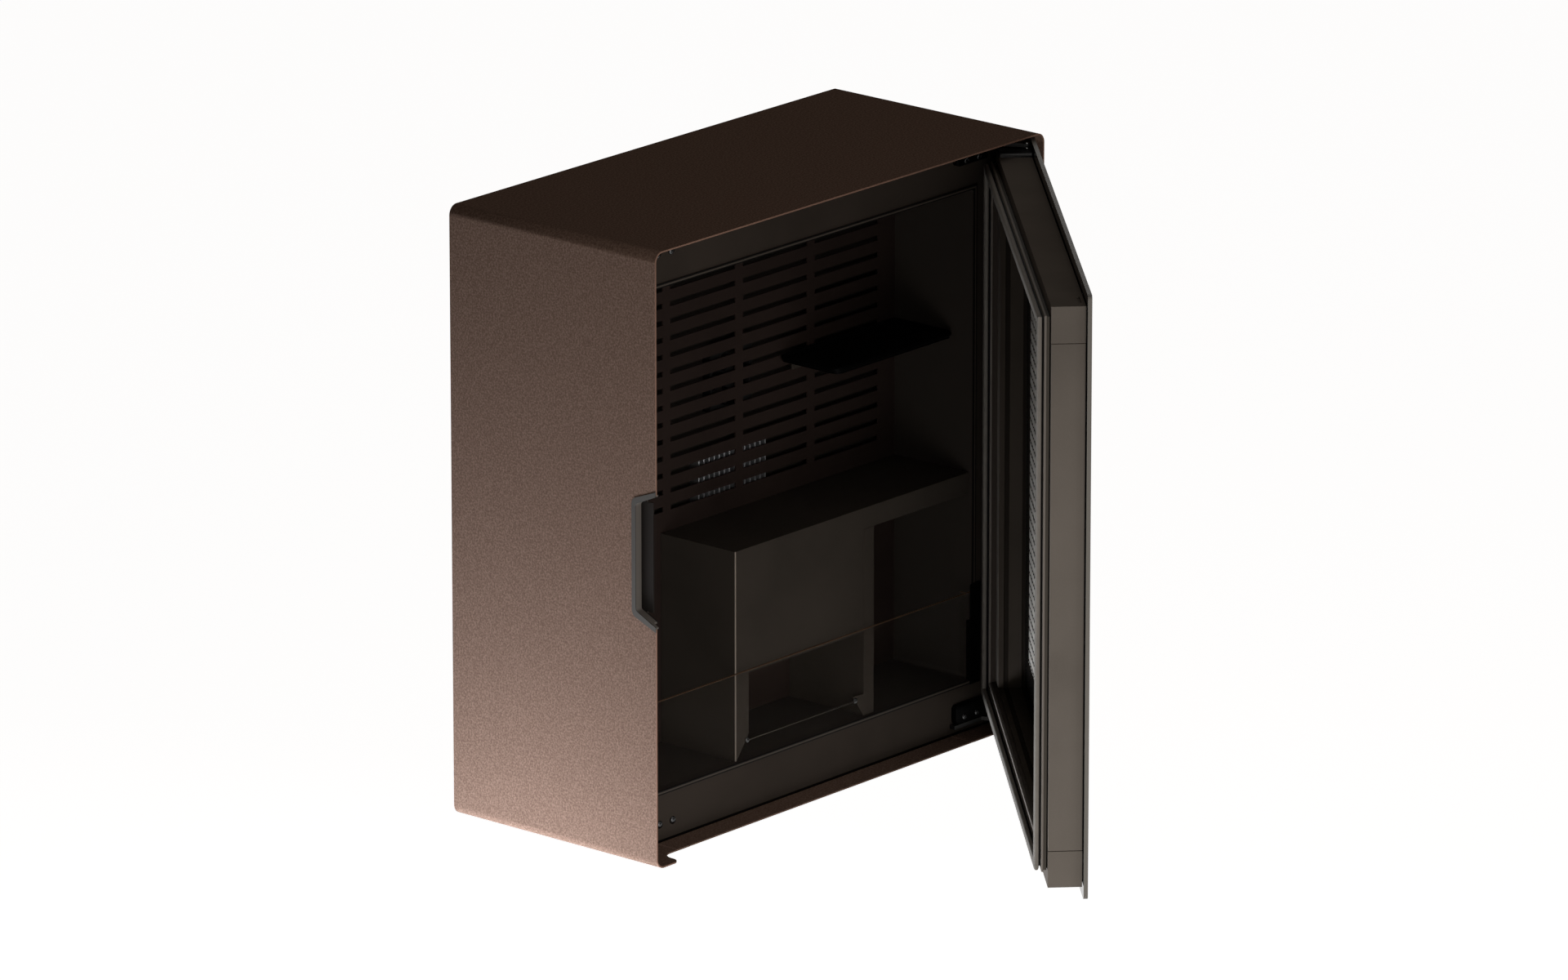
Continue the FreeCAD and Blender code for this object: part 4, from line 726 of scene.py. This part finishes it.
def roundedLoops(low, high, radius, section):
    # for each (offset, height) of the section, a loop round a rectangle with rounded corners:
    # corner centre + (radius - offset) * (cos a, sin a) as a goes round
    angle = (np.arange(cornerSteps) + 0.5) / cornerSteps * math.pi / 2
    turn = (angle + np.arange(4)[:, None] * math.pi / 2).ravel()
    centre = np.array([(high[0], high[1]), (low[0], high[1]), (low[0], low[1]), (high[0], low[1])])
    centre = centre + np.array([(-1, -1), (1, -1), (1, 1), (-1, 1)]) * radius
    centre = np.repeat(centre, cornerSteps, axis=0)
    offset, height = np.asarray(section, float).T
    reach = (radius - offset)[:, None, None]
    flat = centre + reach * np.stack([np.cos(turn), np.sin(turn)], -1)
    rise = np.broadcast_to(height[:, None, None], flat.shape[:2] + (1,))
    return np.concatenate([flat, rise], -1)


tray = {
    "low": (62.7, -192.0, 91.5), "high": (236.7, -116.3, 98.5), "corner": 9.0, "floor": 95.0,
    "rimFoot": 2.4, "rimDepth": 1.7, "rimSteps": 9,
}


def traySection(look):
    # from the middle of the underside, out round the rolled rim and in over the sunk floor
    low, high, floor = look["low"][2], look["high"][2], look["floor"]
    foot, depth = look["rimFoot"], look["rimDepth"]
    step = np.linspace(0.0, math.pi, look["rimSteps"])
    rise = (high + low + foot) / 2 - (high - low - foot) / 2 * np.cos(step)
    rolled = np.stack([depth - depth * np.sin(step), rise], -1)
    outer = [(8.9, low), (3.5, low), (1.4, low + 0.9)]
    inner = [(3.6, high - 0.5), (5.2, floor + 0.9), (6.6, floor + 0.2), (8.9, floor)]
    return np.concatenate([outer, rolled, inner])


def cappedFaces(loops):
    # quads between the loops, and one face over each end
    rows, columns = loops.shape[:2]
    ends = [list(range(columns)), list(range((rows - 1) * columns, rows * columns))]
    return gridFaces(rows, columns, False).tolist() + ends


loops = roundedLoops(tray["low"], tray["high"], tray["corner"], traySection(tray))
putPiece("upper_tray", loops * mm, cappedFaces(loops), "black", "cabinet",
         ["upper_shelf"])
print("upper tray made")

hingeCovers = {
    "lower_hinge_cover": {
        "node": "lower_hinge_block", "low": (207.0, -287.0), "high": (252.5, -268.0)},
    "upper_hinge_cover": {
        "node": "upper_hinge_block", "low": (206.0, 272.5), "high": (252.5, 287.0)},
}
hingeCoverCorner = 4.5
# (inward from the side, depth): up the side and over a rounded edge
hingeCoverSection = [(0.0, -214.0), (0.0, -218.9), (0.15, -219.5), (0.5, -220.05),
                     (1.0, -220.35), (1.6, -220.5)]
for name, look in hingeCovers.items():
    loops = roundedLoops(look["low"], look["high"], hingeCoverCorner, hingeCoverSection)
    loops = loops[..., [0, 2, 1]]
    putPiece(name, loops * mm, cappedFaces(loops), "black", "cabinet",
             [look["node"]])
print("hinge covers made")


headSteps = {"round": 36, "dome": 9}


def turnedHeads(centres, profile, facing, apothem):
    # one head at each centre: a profile of (radius, height, share of the socket) turned about
    # the axis; a socket point lies on a hexagon, and its radius is
    # apothem / cos(angle in its sixth - 30 degrees)
    angle = np.arange(headSteps["round"]) * math.tau / headSteps["round"]
    radius, height, socket = np.asarray(profile, float).T
    hexagon = apothem / np.cos(np.mod(angle, math.pi / 3) - math.pi / 6)
    around = np.where(socket[:, None] > 0, socket[:, None] * hexagon, radius[:, None])
    outward = np.broadcast_to(height[:, None] * facing, around.shape)
    head = np.stack([around * np.cos(angle), outward, around * np.sin(angle)], -1)
    points = np.asarray(centres, float)[:, None, None, :] + head
    faces = gridFaces(len(profile), len(angle), False)
    step = np.arange(len(centres))[:, None, None] * (head.shape[0] * head.shape[1])
    return points * mm, (faces + step).reshape(-1, 4)


def domedHead(radius, height, depth=0.0, apothem=0.0):
    # heights along a quarter ellipse from the rim to the crown, then down into the socket if any
    angle = np.linspace(0.0, math.pi / 2, headSteps["dome"])
    dome = [(0.0, 0.0, 0.0), (radius * 0.96, 0.0, 0.0), (radius, 0.12 * height, 0.0)]
    rise = [(radius * math.cos(a), height * (0.12 + 0.88 * math.sin(a)), 0.0) for a in angle[1:-1]]
    if not depth:
        return dome + rise + [(0.0, height, 0.0)]
    rise = [point for point in rise if point[0] > apothem * 1.3]
    rim = rise[-1][1]
    return dome + rise + [(0.0, rim + 0.02, 1.08), (0.0, rim - 0.12, 1.0),
                          (0.0, rim - depth, 1.0), (0.0, rim - depth - 0.25, 0.0)]


heads = {
    "frame_plugs": {
        "node": "frame_screws", "finish": "plug", "slot": "dark_steel", "body": "cabinet",
        "radius": 3.85, "height": 2.7, "depth": 0.0, "apothem": 0.0, "face": -214.0, "facing": -1.0,
        "centres": [(x, z) for z in (-281.0, 277.0) for x in (-241.1, -222.2, -203.3)],
    },
    "hinge_bolts": {
        "node": "hinge_screws", "finish": "plug", "slot": "bare_zinc", "body": "cabinet",
        "radius": 3.2, "height": 1.2, "depth": 0.7, "apothem": 1.3, "face": -220.5, "facing": -1.0,
        "centres": [(x, z) for z in (-281.0, 277.0) for x in (219.05, 237.95)],
    },
    "rod_caps": {
        "node": "rod_pins", "finish": "plug", "slot": "bare_zinc", "body": "cabinet",
        "radius": 3.0, "height": 2.0, "depth": 0.0, "apothem": 0.0, "face": -210.0, "facing": -1.0,
        "centres": [(-91.0, -230.2), (67.5, -230.2)],
    },
    "back_bolts": {
        "node": "back_panel_screws", "finish": "zinc", "slot": "bare_zinc", "body": "cabinet",
        "radius": 4.0, "height": 2.0, "depth": 1.2, "apothem": 1.5, "face": -10.0, "facing": 1.0,
        "centres": [(x, z) for x in (-258.5, 258.5) for z in (-276.0, 276.0)],
    },
}
for name, look in heads.items():
    centres = [(x, look["face"], z) for x, z in look["centres"]]
    profile = domedHead(look["radius"], look["height"], look["depth"], look["apothem"])
    points, faces = turnedHeads(centres, profile, look["facing"], look["apothem"])
    putPiece(name, points, faces, look["finish"], look["body"], [look["node"]])
print("screw heads and plugs made")

# Camera, light and backdrop

view = {
    "turn": 49.38, "tilt": 16.84, "lens": 282.94, "away": 11.6585, "right": -0.065, "up": 0.0069,
    "aim": (0.0, -0.264, 0.0), "sensor": 36.0, "clip": 100.0,
}


def placeCamera():
    # back from the aim along the line of sight, then a little to the side and up
    turn, tilt = math.radians(view["turn"]), math.radians(view["tilt"])
    forward = Vector((math.sin(turn) * math.cos(tilt), math.cos(turn) * math.cos(tilt),
                      -math.sin(tilt)))
    right = Vector((math.cos(turn), -math.sin(turn), 0.0))
    up = right.cross(forward)
    data = bpy.data.cameras.new("camera")
    data.lens = view["lens"]
    data.sensor_width = view["sensor"]
    data.clip_end = view["clip"]
    camera = bpy.data.objects.new("camera", data)
    place = Vector(view["aim"]) + right * view["right"] + up * view["up"] - forward * view["away"]
    facing = Matrix((right, up, -forward)).transposed().to_4x4()
    camera.matrix_world = Matrix.Translation(place) @ facing
    bpy.context.scene.collection.objects.link(camera)
    bpy.context.scene.camera = camera


lamps = {
    "low": {"place": (-0.506, -0.111, -0.613), "size": 0.3, "watts": 7.2,
            "tint": (0.95, 1.0, 1.10)},
    "lowBack": {"place": (-0.598, 0.018, -0.636), "size": 0.4, "watts": 3.0,
                "tint": (0.95, 1.0, 1.10)},
    "key": {"place": (-0.990, -1.915, 0.278), "size": 0.6, "watts": 9.2,
            "tint": (1.04, 0.98, 0.95)},
    "side": {"place": (-0.664, -0.864, -0.342), "size": 0.4, "watts": 1.7,
             "tint": (1.0, 1.0, 1.0)},
    "front": {"place": (0.0, -2.013, -0.845), "size": 0.6, "watts": 4.3,
              "tint": (1.0, 1.0, 1.0)},
    "top": {"place": (0.0, -0.769, 2.125), "size": 1.0, "watts": 1.6,
            "tint": (1.06, 0.98, 0.92)},
    "right": {"place": (1.8, 0.25, 0.15), "size": 0.8, "watts": 6.0,  # for the other views
              "tint": (1.0, 1.0, 1.0)},
}
lampAim = (0.0, -0.2, 0.0)


def placeLamps():
    for name, look in lamps.items():
        data = bpy.data.lights.new(name, "AREA")
        data.shape = "SQUARE"
        data.size = look["size"]
        data.energy = look["watts"]
        data.color = look["tint"]
        lamp = bpy.data.objects.new(name, data)
        lamp.location = look["place"]
        lamp.visible_camera = False
        way = Vector(lampAim) - Vector(look["place"])
        lamp.rotation_euler = way.to_track_quat("-Z", "Y").to_euler()
        bpy.context.scene.collection.objects.link(lamp)


backdrop = {
    "floor": -1.05, "reach": 40.0, "white": 1.0, "fill": 0.1, "tint": (1.0, 0.9, 0.83, 1.0),
    "floorTone": (0.8, 0.8, 0.8, 1.0), "floorGlow": 0.9,
}


def seenDirectly(paint):
    # 1 where the camera looks at it, straight or by way of a mirror or a pane, and 0 where it
    # only lights something
    rays = [paint.node("ShaderNodeLightPath", {}, {}, name)
            for name in ("Is Camera Ray", "Is Glossy Ray", "Is Transmission Ray")]
    straight = paint.node("ShaderNodeLightPath", {}, {}, "Diffuse Depth") < 0.5
    return rays[0].calc("MAXIMUM", rays[0].calc("MAXIMUM", rays[0], rays[1]), rays[2]) * straight


def placeBackdrop():
    world = bpy.data.worlds.new("backdrop")
    bpy.context.scene.world = world
    world.use_nodes = True
    sky = Paint.__new__(Paint)  # the world has a node tree but no material
    sky.tree = world.node_tree
    sky.tree.nodes.clear()
    seen = seenDirectly(sky)
    glow = sky.node("ShaderNodeBackground", {}, {
        "Color": sky.mix(seen, backdrop["tint"], (1.0, 1.0, 1.0, 1.0)),
        "Strength": sky.spread(seen, backdrop["fill"], backdrop["white"])})
    sky.node("ShaderNodeOutputWorld", {}, {"Surface": glow})
    reach = backdrop["reach"]
    corners = [(-reach, -reach), (reach, -reach), (reach, reach), (-reach, reach)]
    mesh = bpy.data.meshes.new("floor")
    mesh.from_pydata([(x, y, backdrop["floor"]) for x, y in corners], [], [(0, 1, 2, 3)])
    floor = bpy.data.objects.new("floor", mesh)
    bpy.context.scene.collection.objects.link(floor)
    paint = Paint("floor")
    matt = paint.node("ShaderNodeBsdfDiffuse", {}, {"Color": backdrop["floorTone"]})
    glow = paint.node("ShaderNodeEmission", {}, {
        "Strength": seenDirectly(paint) * backdrop["floorGlow"]})
    mesh.materials.append(paint.done(paint.node("ShaderNodeAddShader", {}, {0: matt, 1: glow})))


placeCamera()
placeLamps()
placeBackdrop()
bpy.context.scene.view_settings.view_transform = "Standard"
print("camera, lamps and backdrop placed")
